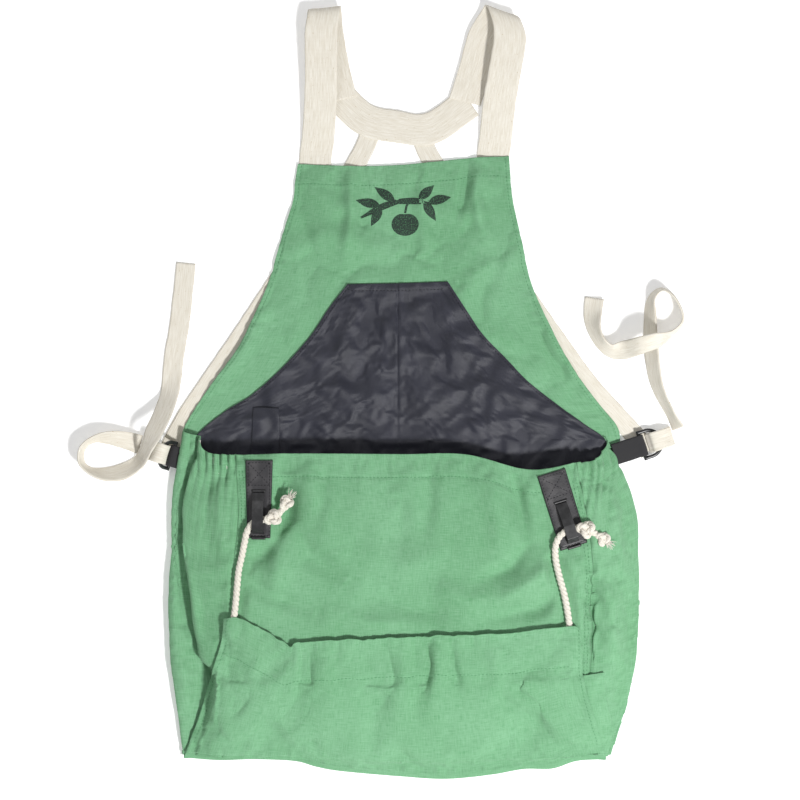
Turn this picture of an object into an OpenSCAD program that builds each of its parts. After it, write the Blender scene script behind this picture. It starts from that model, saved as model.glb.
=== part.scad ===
// Harvest apron: a canvas bib with a lined pouch on its front, lying on its back.
// X runs across the apron, +Y from the bottom fold to the shoulder straps, +Z away from
// the wearer. The origin is on the rest face, in the middle of the pouch's back.
// The end of the pouch folds up over its front as a chute and hangs from two cords,
// which run under the spring tongues of two clips.

/* [Pouch] */
// Half of the distance from the bottom fold to the waist
pouch_half_h = 184; // [170:1:200]
// Half of the pouch's width at the waist and at the fold
pouch_half_w = 248; // [240:1:256]
// How far the sides of the pouch bulge out at half height
side_bulge = 24; // [10:1:30]
// Height of the pouch above its back, at its fullest
pouch_depth = 42; // [36:1:50]
// Thickness of the canvas with its seams
canvas_t = 2; // [1.6:0.1:2.2]

/* [Bib] */
// Width of the bib at its top hem
bib_top_w = 248; // [220:1:270]
// Height of the top hem above the origin
bib_top_y = 512; // [490:1:530]
// Width of the lining's top hem
lining_top_w = 116; // [90:1:140]
// Height of the lining's top hem above the origin
lining_top_y = 368; // [350:1:380]

/* [Harness] */
// Width of the shoulder webbing
webbing_w = 38; // [32:1:40]
// Width of the waist tape
tape_w = 23; // [20:1:24]
// Thickness of webbing and tape
webbing_t = 1.6; // [1.2:0.1:1.8]

/* [Chute cords] */
// Diameter of the cotton cord
cord_d = 8; // [6:0.5:8.5]
// Length of a leather patch
patch_l = 90; // [84:1:96]
// Width of a leather patch
patch_w = 32; // [30:1:34]
// Thickness of a leather patch
patch_t = 2.2; // [1.8:0.1:2.6]

/* [D rings] */
// Inside width of a ring, along its straight bar
ring_inside = 26.6; // [25.6:0.1:28]
// Diameter of the ring's wire
wire_d = 4.4; // [4:0.1:4.8]

/* [Hidden] */
$fn = 48;

LEFT = -1;
RIGHT = 1;
canvas_green = [0.42, 0.67, 0.46];
lining_grey = [0.22, 0.23, 0.28];
cotton_white = [0.93, 0.90, 0.84];
leather_black = [0.20, 0.19, 0.21];
plastic_black = [0.10, 0.10, 0.11];

// ---------------------------------------------------------------- pouch surface
// The pouch is a boxy dome. An angle of 0 or 180 is at a side seam and 90 is the middle of
// the front. v runs from 0 at the bottom fold to 1 at the mouth.
roundness = 0.6;        // 1 is an ellipse, smaller is boxier
fold_height = 10;       // height of the front above the back at the bottom fold
full_from = 0.5;        // share of the height at which the pouch is fullest
mouth_drop = 4;         // how much lower the mouth is than the fullest part
front_sag = 20;         // how far the front's mouth lies below the waist
fold_sag = 8;           // how far the middle of the bottom fold hangs down
seam_angle = 46;        // where the gussets meet the front panel
base_z = canvas_t + 0.3;
waist_lift = 6.4;       // room for the waist tab under the gusset's end
waist_lift_v = [0.74, 0.88];

function half_width(v) = pouch_half_w + side_bulge * sin(180 * v);
function depth(v) = fold_height
    + (pouch_depth - fold_height) * pow(sin(90 * min(1, v / full_from)), 0.8)
    - mouth_drop * pow(max(0, (v - full_from) / (1 - full_from)), 2);
function ramp(v, from, to) = sin(90 * max(0, min(1, (v - from) / (to - from))));
function side_z(a, v) = base_z
    + waist_lift * pow(ramp(v, waist_lift_v[0], waist_lift_v[1]), 2) * pow(cos(a), 4);
function fold_y(a) = -pouch_half_h - fold_sag * pow(sin(a), 2);
function mouth_y(a) = pouch_half_h - front_sag * pow(sin(a), 0.7);
function sign_of(x) = x < 0 ? -1 : 1;
// The point at angle a and height v, moved off the surface by d
function shell_point(a, v, d) = [
    (half_width(v) + d) * sign_of(cos(a)) * pow(abs(cos(a)), roundness),
    fold_y(a) + v * (mouth_y(a) - fold_y(a)),
    side_z(a, v) + (depth(v) + d) * pow(sin(a), roundness)
];
// The angle and height of the point of the front over [x, y]
function angle_at(x, v) = acos(sign_of(x) * pow(min(1, abs(x) / half_width(v)), 1 / roundness));
function height_at(a, y) = (y - fold_y(a)) / (mouth_y(a) - fold_y(a));
function front_z(x, y) =
    let (v0 = height_at(90, y), v1 = height_at(angle_at(x, v0), y), a = angle_at(x, v1))
    shell_point(a, v1, 0)[2];

// A closed solid between two grids of points with the same rows and columns. Columns,
// rows and the way from bottom to top turn by the right-hand rule.
module slab(top, bottom) {
    rows = len(top);
    cols = len(top[0]);
    n = rows * cols;
    rim = concat(
        [for (c = [0:cols - 1]) c],
        [for (r = [1:rows - 1]) r * cols + cols - 1],
        [for (c = [cols - 2:-1:0]) (rows - 1) * cols + c],
        [for (r = [rows - 2:-1:1]) r * cols]
    );
    cells = [for (r = [0:rows - 2], c = [0:cols - 2]) r * cols + c];
    polyhedron(
        points = [for (grid = [top, bottom], row = grid, p = row) p],
        faces = concat(
            [for (i = cells) [i, i + cols, i + cols + 1]],
            [for (i = cells) [i, i + cols + 1, i + 1]],
            [for (i = cells) [n + i, n + i + cols + 1, n + i + cols]],
            [for (i = cells) [n + i, n + i + 1, n + i + cols + 1]],
            [for (k = [0:len(rim) - 1]) let (i = rim[k], j = rim[(k + 1) % len(rim)]) [i, j, n + j]],
            [for (k = [0:len(rim) - 1]) let (i = rim[k], j = rim[(k + 1) % len(rim)]) [i, n + j, n + i]]
        )
    );
}

// A patch of the pouch's surface from angle(v)[0] to angle(v)[1], between two offsets
module shell(angles, v0, v1, d_in, d_out, na, nv) {
    function grid(d) = [
        for (i = [0:nv]) let (v = v0 + (v1 - v0) * i / nv, span = angles(v)) [
            for (j = [0:na]) shell_point(span[1] + (span[0] - span[1]) * j / na, v, d)
        ]
    ];
    slab(grid(d_out), grid(d_in));
}

// ---------------------------------------------------------------- flat panels
outline_steps = 16;
armhole_bend = 1.72;    // how hollow the bib's side edges are
lining_bend = 1.42;     // how hollow the lining's side edges are
waist_y = pouch_half_h + 2;
waist_half_w = 256;
lining_waist_half_w = 228;
lining_inside_half_w = 226;
lining_bottom_y = -168;
back_inset = 3;         // how far the back panel's edge lies inside the side seam
bib_overlap = 12;       // how far the bib runs down over the pouch's back

function flare(t, top_half, bottom_half, bend) =
    top_half + (bottom_half - top_half) * pow(1 - t, bend);
// A flat sheet, symmetrical about x = 0, from rows of [y, half width]
module flat_panel(rows, z, t) {
    translate([0, 0, z]) linear_extrude(t) polygon(concat(
        [for (r = rows) [r[1], r[0]]],
        [for (i = [len(rows) - 1:-1:0]) [-rows[i][1], rows[i][0]]]
    ));
}

module bib_panel() {
    color(canvas_green) flat_panel(concat(
        [[waist_y - bib_overlap, waist_half_w - 22]],
        [for (i = [0:outline_steps]) let (t = i / outline_steps)
            [waist_y + t * (bib_top_y - waist_y), flare(t, bib_top_w / 2, waist_half_w, armhole_bend)]]
    ), canvas_t, canvas_t);
}

module pouch_back_panel() {
    color(canvas_green) flat_panel([
        for (i = [0:outline_steps]) let (t = i / outline_steps)
            [-pouch_half_h + t * (waist_y + pouch_half_h), half_width(t) - back_inset]
    ], 0, canvas_t);
}

lining_t = 0.8;
lining_z = 2 * canvas_t + 0.2;
module lining_back() {
    color(lining_grey) flat_panel(concat(
        [[lining_bottom_y, lining_inside_half_w]],
        [for (i = [0:outline_steps]) let (t = i / outline_steps)
            [waist_y + t * (lining_top_y - waist_y),
             flare(t, lining_top_w / 2, lining_waist_half_w, lining_bend)]]
    ), lining_z, lining_t);
}

// A narrow slip pocket on the lining, open at its top
pocket_x = -160;
pocket_w = 38;
pocket_top_y = 228;
pocket_l = 92;
pocket_gap = 5.2;
pocket_wall = 0.8;
module slip_pocket() {
    color(lining_grey)
    translate([pocket_x - pocket_w / 2, pocket_top_y - pocket_l, lining_z + lining_t]) difference() {
        cube([pocket_w, pocket_l, pocket_gap + pocket_wall]);
        translate([pocket_wall, pocket_wall, -1])
            cube([pocket_w - 2 * pocket_wall, pocket_l, pocket_gap + 1]);
    }
}

// ---------------------------------------------------------------- pouch walls
front_seam = [seam_angle, 180 - seam_angle];
module pouch_front_panel() {
    color(canvas_green) shell(function (v) front_seam, 0, 1, -canvas_t, 0, 24, 16);
}

// The right gusset runs from the side seam to the front panel's seam
gusset_foot = 0.05;
module gusset(side) {
    span = side == RIGHT ? [gusset_foot, seam_angle] : [180 - seam_angle, 180 - gusset_foot];
    color(canvas_green) shell(function (v) span, 0, 1, -canvas_t, 0, 10, 16);
}

// The lining follows the front and both gussets, inside the elastic
front_lining_out = -canvas_t - 1.5;
module lining_front() {
    color(lining_grey) shell(function (v) [3, 177], 0.04, 0.985,
        front_lining_out - lining_t, front_lining_out, 30, 14);
}

elastic_span = [10, 46];
module elastic(side) {
    span = side == RIGHT ? elastic_span : [180 - elastic_span[1], 180 - elastic_span[0]];
    color(cotton_white) shell(function (v) span, 0.93, 0.98, -canvas_t - 1.3, -canvas_t - 0.2, 8, 2);
}

// ---------------------------------------------------------------- chute
// The chute's outer wall is the flap that shows. Its root is a rolled edge on the fold.
chute_axis_y = -pouch_half_h - 14;
chute_axis_z = 12;
roll_d = 7;
flap_top_v = 0.44;
flap_gap = 3.6;         // from the pouch's front to the inside of the flap
flap_edge = [10, 46];   // angle of the flap's side edge at the fold and at its top
inner_top_v = 0.27;
inner_gap = 0.9;
inner_edge = [14, 42];
fold_clear_v = 0.012;

function edge_angle(edge, v, top) = edge[0] + (edge[1] - edge[0]) * min(1, v / top);
module chute_flap() {
    color(canvas_green) {
        shell(function (v) let (e = edge_angle(flap_edge, v, flap_top_v)) [e, 180 - e],
            fold_clear_v, flap_top_v, flap_gap, flap_gap + canvas_t, 24, 9);
        chute_roll();
    }
}

// The roll on the fold, and the strip from it up to the flap's first row
module chute_roll() {
    steps = 24;
    e = flap_edge[0];
    roll_half_w = shell_point(e, 0, flap_gap)[0];
    row = [for (j = [0:steps]) 180 - e - (180 - 2 * e) * j / steps];
    translate([0, chute_axis_y, chute_axis_z]) rotate([0, 90, 0])
        cylinder(h = 2 * roll_half_w, d = roll_d, center = true);
    slab(
        [[for (a = row) [shell_point(a, 0, flap_gap)[0], chute_axis_y, chute_axis_z + roll_d / 2]],
         [for (a = row) shell_point(a, fold_clear_v, flap_gap + canvas_t) + [0, 0.5, 0]]],
        [[for (a = row) [shell_point(a, 0, flap_gap)[0], chute_axis_y, chute_axis_z]],
         [for (a = row) shell_point(a, fold_clear_v, flap_gap) + [0, 0.5, 0]]]
    );
}

// The chute's inner wall continues the pouch's front and folds up under the flap
module chute_inner_wall() {
    color(canvas_green) shell(
        function (v) let (e = edge_angle(inner_edge, v, inner_top_v)) [e, 180 - e],
        0.02, inner_top_v, inner_gap, inner_gap + canvas_t, 24, 6);
}

// ---------------------------------------------------------------- patches and clips
// Each patch has [x, y] of its centre and its turn about Z. Its slope follows the front.
patch_place = [[-163, 118, 0], [188, 106, 17]];
patch_slope = 4.5;
patch_pitch = -2;
patch_clear = 1.0;
patch_corner = 2.5;
tongue_w = 13;
tongue_root_y = 6;      // the tongue's hinge line in the patch, from the patch's centre
tongue_l = 46;
tongue_t = 1.7;
root_d = 3.2;
slot_l = 5;
lip_y = tongue_root_y - tongue_l;
base_t = 0.9;
base_w = 20;
base_rim = 4;           // how far the base runs past the two slots

function side_index(side) = side == LEFT ? 0 : 1;
// Places children in a patch's frame: x across, y along it, z = 0 on its outer face
module on_patch(side) {
    p = patch_place[side_index(side)];
    translate([p[0], p[1], front_z(p[0], p[1]) + patch_clear + base_t + patch_t])
        rotate([patch_pitch, side * patch_slope, 0]) rotate([0, 0, p[2]]) children();
}

module rounded_plate(w, l, t, r) {
    linear_extrude(t) offset(r) square([w - 2 * r, l - 2 * r], center = true);
}

module slots(t) {
    for (y = [tongue_root_y, lip_y])
        translate([0, y, -t / 2]) cube([tongue_w + 1.6, slot_l, 2 * t], center = true);
}

module patch(side) {
    color(leather_black) on_patch(side) difference() {
        translate([0, 0, -patch_t]) rounded_plate(patch_w, patch_l, patch_t, patch_corner);
        slots(patch_t);
    }
}

// The clip's base plate lies under the patch
module clip_base(side) {
    color(plastic_black) on_patch(side)
        translate([-base_w / 2, lip_y - base_rim, -patch_t - base_t])
            cube([base_w, tongue_l + 2 * base_rim, base_t]);
}

// The tongue's outer profile, as [y, z] from its root to its lip. The cord runs under it.
cord_gap = cord_d + 0.7;
tongue_profile = [[0, 0], [-8, 4.6], [-17, 7.6], [-25, cord_gap], [-40, cord_gap], [-44, 5], [-45, -0.8]];
module tongue_section() {
    n = len(tongue_profile);
    for (i = [0:n - 2]) hull() {
        translate(tongue_profile[i]) circle(d = tongue_t, $fn = 20);
        translate(tongue_profile[i + 1]) circle(d = tongue_t, $fn = 20);
    }
}

module clip_tongue(side) {
    color(plastic_black) on_patch(side) translate([0, tongue_root_y, root_d / 2 - 1]) {
        rotate([0, 90, 0]) cylinder(h = tongue_w, d = root_d, center = true);
        translate([-tongue_w / 2, 0, 0]) rotate([90, 0, 90]) linear_extrude(tongue_w)
            translate([0, tongue_t / 2]) tongue_section();
    }
}

// ---------------------------------------------------------------- cords
// The middle of each cord, from the flap's corner, under the tongue, to its end knot
left_route = [
    [-193, -31, 44], [-190, -6, 44.5], [-188, 16, 44.5], [-186, 36, 44.5], [-182, 54, 44.5],
    [-179, 68, 48], [-176, 81, 48.8], [-169, 91, 49], [-159, 94, 49.6], [-150, 95, 50.1],
    [-142, 99, 49.8], [-136, 106, 47.5], [-131, 114, 46]
];
right_route = [
    [196, -31, 43.7], [193, -10, 44.2], [189, 10, 44.5], [184, 28, 44.8], [180, 46, 45],
    [179, 62, 47.4], [183, 74, 48.4], [191, 81, 47.8], [200, 84, 47], [209, 85, 46.8],
    [219, 82, 45.5], [227, 77, 42], [234, 72, 39.5]
];
stop_at = 9;            // route point where the cord enters its stopper knot
knot_w = 15;
knot_l = 19;
knot_lift = 3.5;
cord_sides = 10;

function route(side) = side == LEFT ? left_route : right_route;
function unit(v) = v / norm(v);
// A tube of sides-cornered rings along a path
module tube(path, d, sides) {
    n = len(path);
    function way(i) = unit(path[min(n - 1, i + 1)] - path[max(0, i - 1)]);
    function ring(i) = let (t = way(i), s = unit(cross(t, [0, 0, 1])), u = cross(s, t))
        [for (k = [0:sides - 1]) path[i] + d / 2 * (cos(360 * k / sides) * s + sin(360 * k / sides) * u)];
    polyhedron(
        points = [for (i = [0:n - 1], p = ring(i)) p],
        faces = concat(
            [[for (k = [sides - 1:-1:0]) k]],
            [for (i = [0:n - 2], k = [0:sides - 1]) let (a = i * sides + k, b = i * sides + (k + 1) % sides)
                [a, b, b + sides]],
            [for (i = [0:n - 2], k = [0:sides - 1]) let (a = i * sides + k, b = i * sides + (k + 1) % sides)
                [a, b + sides, a + sides]],
            [[for (k = [0:sides - 1]) (n - 1) * sides + k]]
        )
    );
}

module cord(side) {
    color(cotton_white) tube(route(side), cord_d, cord_sides);
}

module knot(p, q) {
    way = q - p;
    translate(p + [0, 0, knot_lift]) rotate([0, 0, atan2(way[1], way[0])]) hull()
        for (x = [-0.5, 0.5]) translate([x * (knot_l - knot_w), 0, 0]) sphere(d = knot_w, $fn = 20);
}

// The stopper knot beside the tongue and the knot at the cord's end
module cord_knots(side) {
    r = route(side);
    color(cotton_white) {
        knot((r[stop_at] + r[stop_at + 1]) / 2, r[stop_at + 1]);
        knot(r[len(r) - 1], 2 * r[len(r) - 1] - r[len(r) - 2]);
    }
}

// ---------------------------------------------------------------- waist tabs and D rings
// The bar of each ring lies at [x, y], with the ring turned upwards by ring_turn. The left
// ring stands tilted on its bar and the right one lies flat.
ring_place = [[-267, 167], [283, 179]];
ring_turn = 18;
ring_tilt = [60, 0];
bar_z = 7;
bar_clear = 0.3;
tab_w = 25;
tab_l = 34;             // from the bar to the end that is sewn under the pouch's side
leg_l = 8;              // straight length of a ring's legs
ring_r = (ring_inside + wire_d) / 2;

// Places children on a ring's bar: x outward from the apron, y along the bar
module at_ring(side) {
    p = ring_place[side_index(side)];
    translate([p[0], p[1], bar_z]) rotate([0, 0, side == RIGHT ? ring_turn : 180 - ring_turn]) children();
}

// Webbing folded round the bar, with its two plies sewn together
module waist_tab(side) {
    bore_r = wire_d / 2 + bar_clear;
    color(leather_black) at_ring(side) rotate([90, 0, 0]) translate([0, 0, -tab_w / 2]) linear_extrude(tab_w)
        difference() {
            union() {
                circle(bore_r + webbing_t);
                translate([-tab_l, -webbing_t]) square([tab_l, 2 * webbing_t]);
            }
            circle(bore_r);
        }
}

module d_ring(side) {
    color(plastic_black) at_ring(side) rotate([0, -ring_tilt[side_index(side)], 0]) {
        rotate([90, 0, 0]) cylinder(h = 2 * ring_r + wire_d, d = wire_d, center = true);
        for (y = [-ring_r, ring_r])
            translate([0, y, 0]) rotate([0, 90, 0]) cylinder(h = leg_l, d = wire_d);
        translate([leg_l, 0, 0]) rotate([0, 0, -90]) rotate_extrude(angle = 180)
            translate([ring_r, 0]) circle(d = wire_d);
    }
}

// ---------------------------------------------------------------- bands
// A flat band along points, with its width along the unit vectors of widths
module band(points, widths, w, t) {
    n = len(points);
    function way(i) = unit(points[min(n - 1, i + 1)] - points[max(0, i - 1)]);
    function edge(i, up) = let (out = unit(cross(widths[i], way(i))))
        [for (s = [-1, 1]) points[i] + s * w / 2 * widths[i] + up * t / 2 * out];
    slab([for (i = [0:n - 1]) edge(i, 1)], [for (i = [0:n - 1]) edge(i, -1)]);
}

// Webbing along [x, y, z] points that may rise and turn over, its width level
function level_width(turn) = [cos(turn), sin(turn), 0];
module webbing(points, turns, w) {
    band(points, [for (a = turns) level_width(a)], w, webbing_t);
}

// Tape lying on a surface, along [x, y, height of the surface, lean]. A lean of 0 is flat
// and 90 stands on its edge.
module laid_tape(route, w) {
    n = len(route);
    function flat_way(i) = let (d = route[min(n - 1, i + 1)] - route[max(0, i - 1)]) unit([d[0], d[1], 0]);
    points = [for (p = route) [p[0], p[1], p[2] + w / 2 * abs(sin(p[3])) + webbing_t / 2 * cos(p[3])]];
    widths = [for (i = [0:n - 1]) let (a = route[i][3])
        cos(a) * cross(flat_way(i), [0, 0, 1]) + sin(a) * [0, 0, 1]];
    band(points, widths, w, webbing_t);
}

// Each shoulder strap comes up behind the top hem, turns over at its top and comes back
left_strap_points = [
    [-100, 488, 1], [-99, 518, 1], [-96, 540, 4], [-93, 580, 11], [-92, 620, 17], [-92, 660, 21],
    [-89, 682, 20], [-88, 690, 13], [-87, 683, 6.5], [-85, 660, 4.6], [-78, 620, 3.6], [-69, 584, 2.8]
];
left_strap_turns = [-2, -2, -2, -2, 0, 0, 3, 6, 8, 9, 10, 12];
right_strap_points = [
    [108, 486, 1], [109, 518, 1], [112, 540, 4], [116, 580, 11], [122, 615, 17], [128, 655, 21],
    [123, 678, 20], [118, 687, 13], [112, 680, 6.5], [98, 656, 4.6], [88, 620, 3.6], [76, 582, 2.8]
];
right_strap_turns = [-6, -6, -7, -8, -9, -10, -16, -20, -22, -20, -16, -14];
module shoulder_strap(side) {
    points = side == LEFT ? left_strap_points : right_strap_points;
    turns = side == LEFT ? left_strap_turns : right_strap_turns;
    color(cotton_white) webbing(points, turns, webbing_w);
}

cross_route = [[-66, 582, 0, 0], [-42, 562, 0, 0], [-4, 553, 0, 0], [36, 551, 0, 0], [74, 574, 0, 0]];
module back_cross_strap() {
    color(cotton_white) laid_tape(cross_route, webbing_w);
}

left_back_route = [
    [-44, 528, 0, 0], [-54, 506, 0, 0], [-120, 407, 0, 0], [-185, 309, 0, 0], [-226, 249, 0, 0],
    [-253, 208, 0, 0], [-274, 168, 0, 0]
];
right_back_route = [
    [33, 524, 0, 0], [42, 506, 0, 0], [112, 405, 0, 0], [182, 305, 0, 0], [222, 250, 0, 0],
    [262, 206, 0, 0], [292, 172, 0, 0]
];
module back_strap(side) {
    color(cotton_white) laid_tape(side == LEFT ? left_back_route : right_back_route, tape_w);
}

// The tape's way through a ring, as [outward from the bar, height above the floor]
left_loop = [[8, 2.6], [14, 5], [13, 10], [7, 16], [4, 24], [9, 32], [17, 33], [25, 26], [33, 12], [38, 4]];
right_loop = [[8, 2.6], [11, 6], [14, 10.6], [20, 12], [28, 11], [33, 7], [38, 3]];
module strap_loop(side) {
    profile = side == LEFT ? left_loop : right_loop;
    color(cotton_white) at_ring(side) webbing(
        [for (p = profile) [p[0], 0, p[1] - bar_z]], [for (p = profile) -90], tape_w);
}

left_tie_route = [
    [-304, 180, 2, 12], [-320, 185, 2, 25], [-342, 188, 2, 50], [-360, 185, 0, 75], [-371, 175, 0, 80],
    [-372, 160, 0, 80], [-362, 150, 0, 75], [-344, 146, 0, 50], [-324, 149, 0, 35], [-306, 160, 0, 45],
    [-293, 178, 28, 45], [-285, 196, 28, 25], [-276, 218, 14, 20], [-269, 245, 0, 15], [-265, 284, 0, 0],
    [-259, 319, 0, 0], [-255, 354, 0, 0], [-251, 393, 0, 0]
];
right_tie_route = [
    [325, 199, 1, 60], [316, 216, 0, 70], [300, 250, 0, 60], [294, 290, 0, 50], [292, 330, 0, 60],
    [294, 352, 0, 75], [306, 362, 0, 80], [320, 354, 0, 80], [330, 336, 0, 80], [330, 322, 0, 80],
    [318, 310, 0, 75], [300, 302, 26, 45], [280, 296, 26, 30], [262, 291, 10, 20], [246, 290, 0, 50],
    [234, 300, 0, 60], [226, 318, 0, 50], [226, 338, 0, 20], [228, 352, 0, 10]
];
module waist_tie(side) {
    color(cotton_white) laid_tape(side == LEFT ? left_tie_route : right_tie_route, tape_w);
}

bib_panel();
pouch_back_panel();
pouch_front_panel();
gusset(LEFT);  // left_gusset
gusset(RIGHT);  // right_gusset
lining_back();
lining_front();
slip_pocket();
elastic(LEFT);  // left_elastic
elastic(RIGHT);  // right_elastic
chute_flap();
chute_inner_wall();
patch(LEFT);  // left_patch
patch(RIGHT);  // right_patch
clip_base(LEFT);  // left_clip_base
clip_base(RIGHT);  // right_clip_base
clip_tongue(LEFT);  // left_clip_tongue
clip_tongue(RIGHT);  // right_clip_tongue
cord(LEFT);  // left_cord
cord(RIGHT);  // right_cord
cord_knots(LEFT);  // left_cord_knots
cord_knots(RIGHT);  // right_cord_knots
waist_tab(LEFT);  // left_waist_tab
waist_tab(RIGHT);  // right_waist_tab
d_ring(LEFT);  // left_d_ring
d_ring(RIGHT);  // right_d_ring
shoulder_strap(LEFT);  // left_shoulder_strap
shoulder_strap(RIGHT);  // right_shoulder_strap
back_cross_strap();
back_strap(LEFT);  // left_back_strap
back_strap(RIGHT);  // right_back_strap
strap_loop(LEFT);  // left_strap_loop
strap_loop(RIGHT);  // right_strap_loop
waist_tie(LEFT);  // left_waist_tie
waist_tie(RIGHT);  // right_waist_tie
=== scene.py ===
"""Looks of the harvest apron: canvas, lining, webbing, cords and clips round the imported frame.

Shapes are worked out in millimetres, in the frame's own axes, and turned into metres when
a mesh is made. The outlines and routes follow the CAD model's own, and the fold's place and
the bib's height come from the boxes of its nodes.
"""
import math

import bpy
import numpy as np
from mathutils import Matrix, Vector
from mathutils.bvhtree import BVHTree


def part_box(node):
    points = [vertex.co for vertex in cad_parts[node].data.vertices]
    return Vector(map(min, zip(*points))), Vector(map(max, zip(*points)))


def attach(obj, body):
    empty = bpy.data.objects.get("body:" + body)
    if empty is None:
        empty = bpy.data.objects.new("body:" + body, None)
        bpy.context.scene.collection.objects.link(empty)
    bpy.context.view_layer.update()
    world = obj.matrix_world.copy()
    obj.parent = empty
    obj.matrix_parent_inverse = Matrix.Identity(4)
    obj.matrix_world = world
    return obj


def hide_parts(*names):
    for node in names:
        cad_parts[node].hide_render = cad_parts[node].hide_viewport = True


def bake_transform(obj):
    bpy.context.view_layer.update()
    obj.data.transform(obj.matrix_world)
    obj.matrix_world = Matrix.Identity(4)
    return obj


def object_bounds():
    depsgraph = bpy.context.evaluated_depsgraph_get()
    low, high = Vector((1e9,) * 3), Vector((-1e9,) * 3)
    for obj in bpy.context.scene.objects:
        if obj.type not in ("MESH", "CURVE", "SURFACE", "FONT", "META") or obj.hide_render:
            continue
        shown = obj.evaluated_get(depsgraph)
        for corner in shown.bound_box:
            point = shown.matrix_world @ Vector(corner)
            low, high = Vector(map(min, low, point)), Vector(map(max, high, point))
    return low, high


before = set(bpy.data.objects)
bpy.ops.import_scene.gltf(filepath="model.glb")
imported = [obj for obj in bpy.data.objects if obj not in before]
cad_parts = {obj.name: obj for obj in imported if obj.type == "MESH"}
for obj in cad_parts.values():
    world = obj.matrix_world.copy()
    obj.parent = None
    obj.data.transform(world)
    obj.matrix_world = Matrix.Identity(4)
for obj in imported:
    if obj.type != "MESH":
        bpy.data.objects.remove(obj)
cad_low, cad_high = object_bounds()

MM = 0.001
BODY = "apron"
SIDES = {"left": -1, "right": 1}


def box_mm(node):
    """Lowest and highest corner of a CAD node, in millimetres."""
    low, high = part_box(node)
    return np.array(low) / MM, np.array(high) / MM


# ------------------------------------------------------------------ places from the frame
FOLD_Y = box_mm("pouch_back_panel")[0][1]
BIB_BASE_Z = box_mm("bib_panel")[1][2]

CORD_D = 8.0
WEBBING_W = 38.0
WEBBING_T = 1.6
TAPE_W = 23.0
TAB_W = 25
TAB_T = 1.5
CLOTH_T = 1.1
FLAP_T = 1.2
LINING_T = 0.6

# Middle lines of the cords, as in the CAD model
CORD_ROUTES = {
    "left": [
        (-193, -31, 44), (-190, -6, 44.5), (-188, 16, 44.5), (-186, 36, 44.5), (-182, 54, 44.5),
        (-179, 68, 48), (-176, 81, 48.8), (-169, 91, 49), (-159, 94, 49.6), (-150, 95, 50.1),
        (-142, 99, 49.8), (-136, 106, 47.5), (-131, 114, 46),
    ],
    "right": [
        (196, -31, 43.7), (193, -10, 44.2), (189, 10, 44.5), (184, 28, 44.8), (180, 46, 45),
        (179, 62, 47.4), (183, 74, 48.4), (191, 81, 47.8), (200, 84, 47), (209, 85, 46.8),
        (219, 82, 45.5), (227, 77, 42), (234, 72, 39.5),
    ],
}

# The camera's view, in metres
SEEN_WIDTH = 0.928
SEEN_SHIFT_Y = -0.014   # from the middle of the CAD box to the middle of the view
VIEWED_HEIGHT = 0.03    # height over the floor at which SEEN_WIDTH is seen


# ------------------------------------------------------------------ camera and light
def make_camera():
    """Looks straight down, as onto a table."""
    data = bpy.data.cameras.new("camera")
    data.lens = 100
    data.sensor_width = 36
    data.clip_end = 20
    camera = bpy.data.objects.new("camera", data)
    bpy.context.scene.collection.objects.link(camera)
    distance = SEEN_WIDTH * data.lens / data.sensor_width
    middle_y = (cad_low.y + cad_high.y) / 2 + SEEN_SHIFT_Y
    camera.location = (0, middle_y, distance + VIEWED_HEIGHT)
    bpy.context.scene.camera = camera


def area_light(name, place, target, size, watts):
    data = bpy.data.lights.new(name, "AREA")
    data.size = size
    data.energy = watts
    light = bpy.data.objects.new(name, data)
    light.location = place
    light.rotation_mode = "QUATERNION"
    light.rotation_quaternion = (Vector(target) - Vector(place)).to_track_quat("-Z", "Y")
    bpy.context.scene.collection.objects.link(light)


def make_studio():
    scene = bpy.context.scene
    scene.view_settings.view_transform = "Standard"
    world = bpy.data.worlds.new("studio")
    scene.world = world
    world.use_nodes = True
    background = world.node_tree.nodes["Background"]
    background.inputs["Color"].default_value = (1, 1, 1, 1)
    background.inputs["Strength"].default_value = 0.38
    area_light("key", (1.15, -1.15, 2.3), (0, 0.2, 0), 0.35, 92)
    area_light("fill", (-0.9, 1.5, 1.9), (0, 0.3, 0), 1.2, 9)
    floor = bpy.data.meshes.new("floor")
    half = 6.0
    corners = [(-half, -half, 0), (half, -half, 0), (half, half, 0), (-half, half, 0)]
    floor.from_pydata(corners, [], [(0, 1, 2, 3)])
    paint = plain_material("floor_paint", (0.93, 0.93, 0.93), 0.9)
    shader = paint.node_tree.nodes["Principled BSDF"]
    shader.inputs["Emission Color"].default_value = (1, 1, 1, 1)
    shader.inputs["Emission Strength"].default_value = 0.22
    floor.materials.append(paint)
    floor_object = bpy.data.objects.new("floor", floor)
    scene.collection.objects.link(floor_object)


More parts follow.
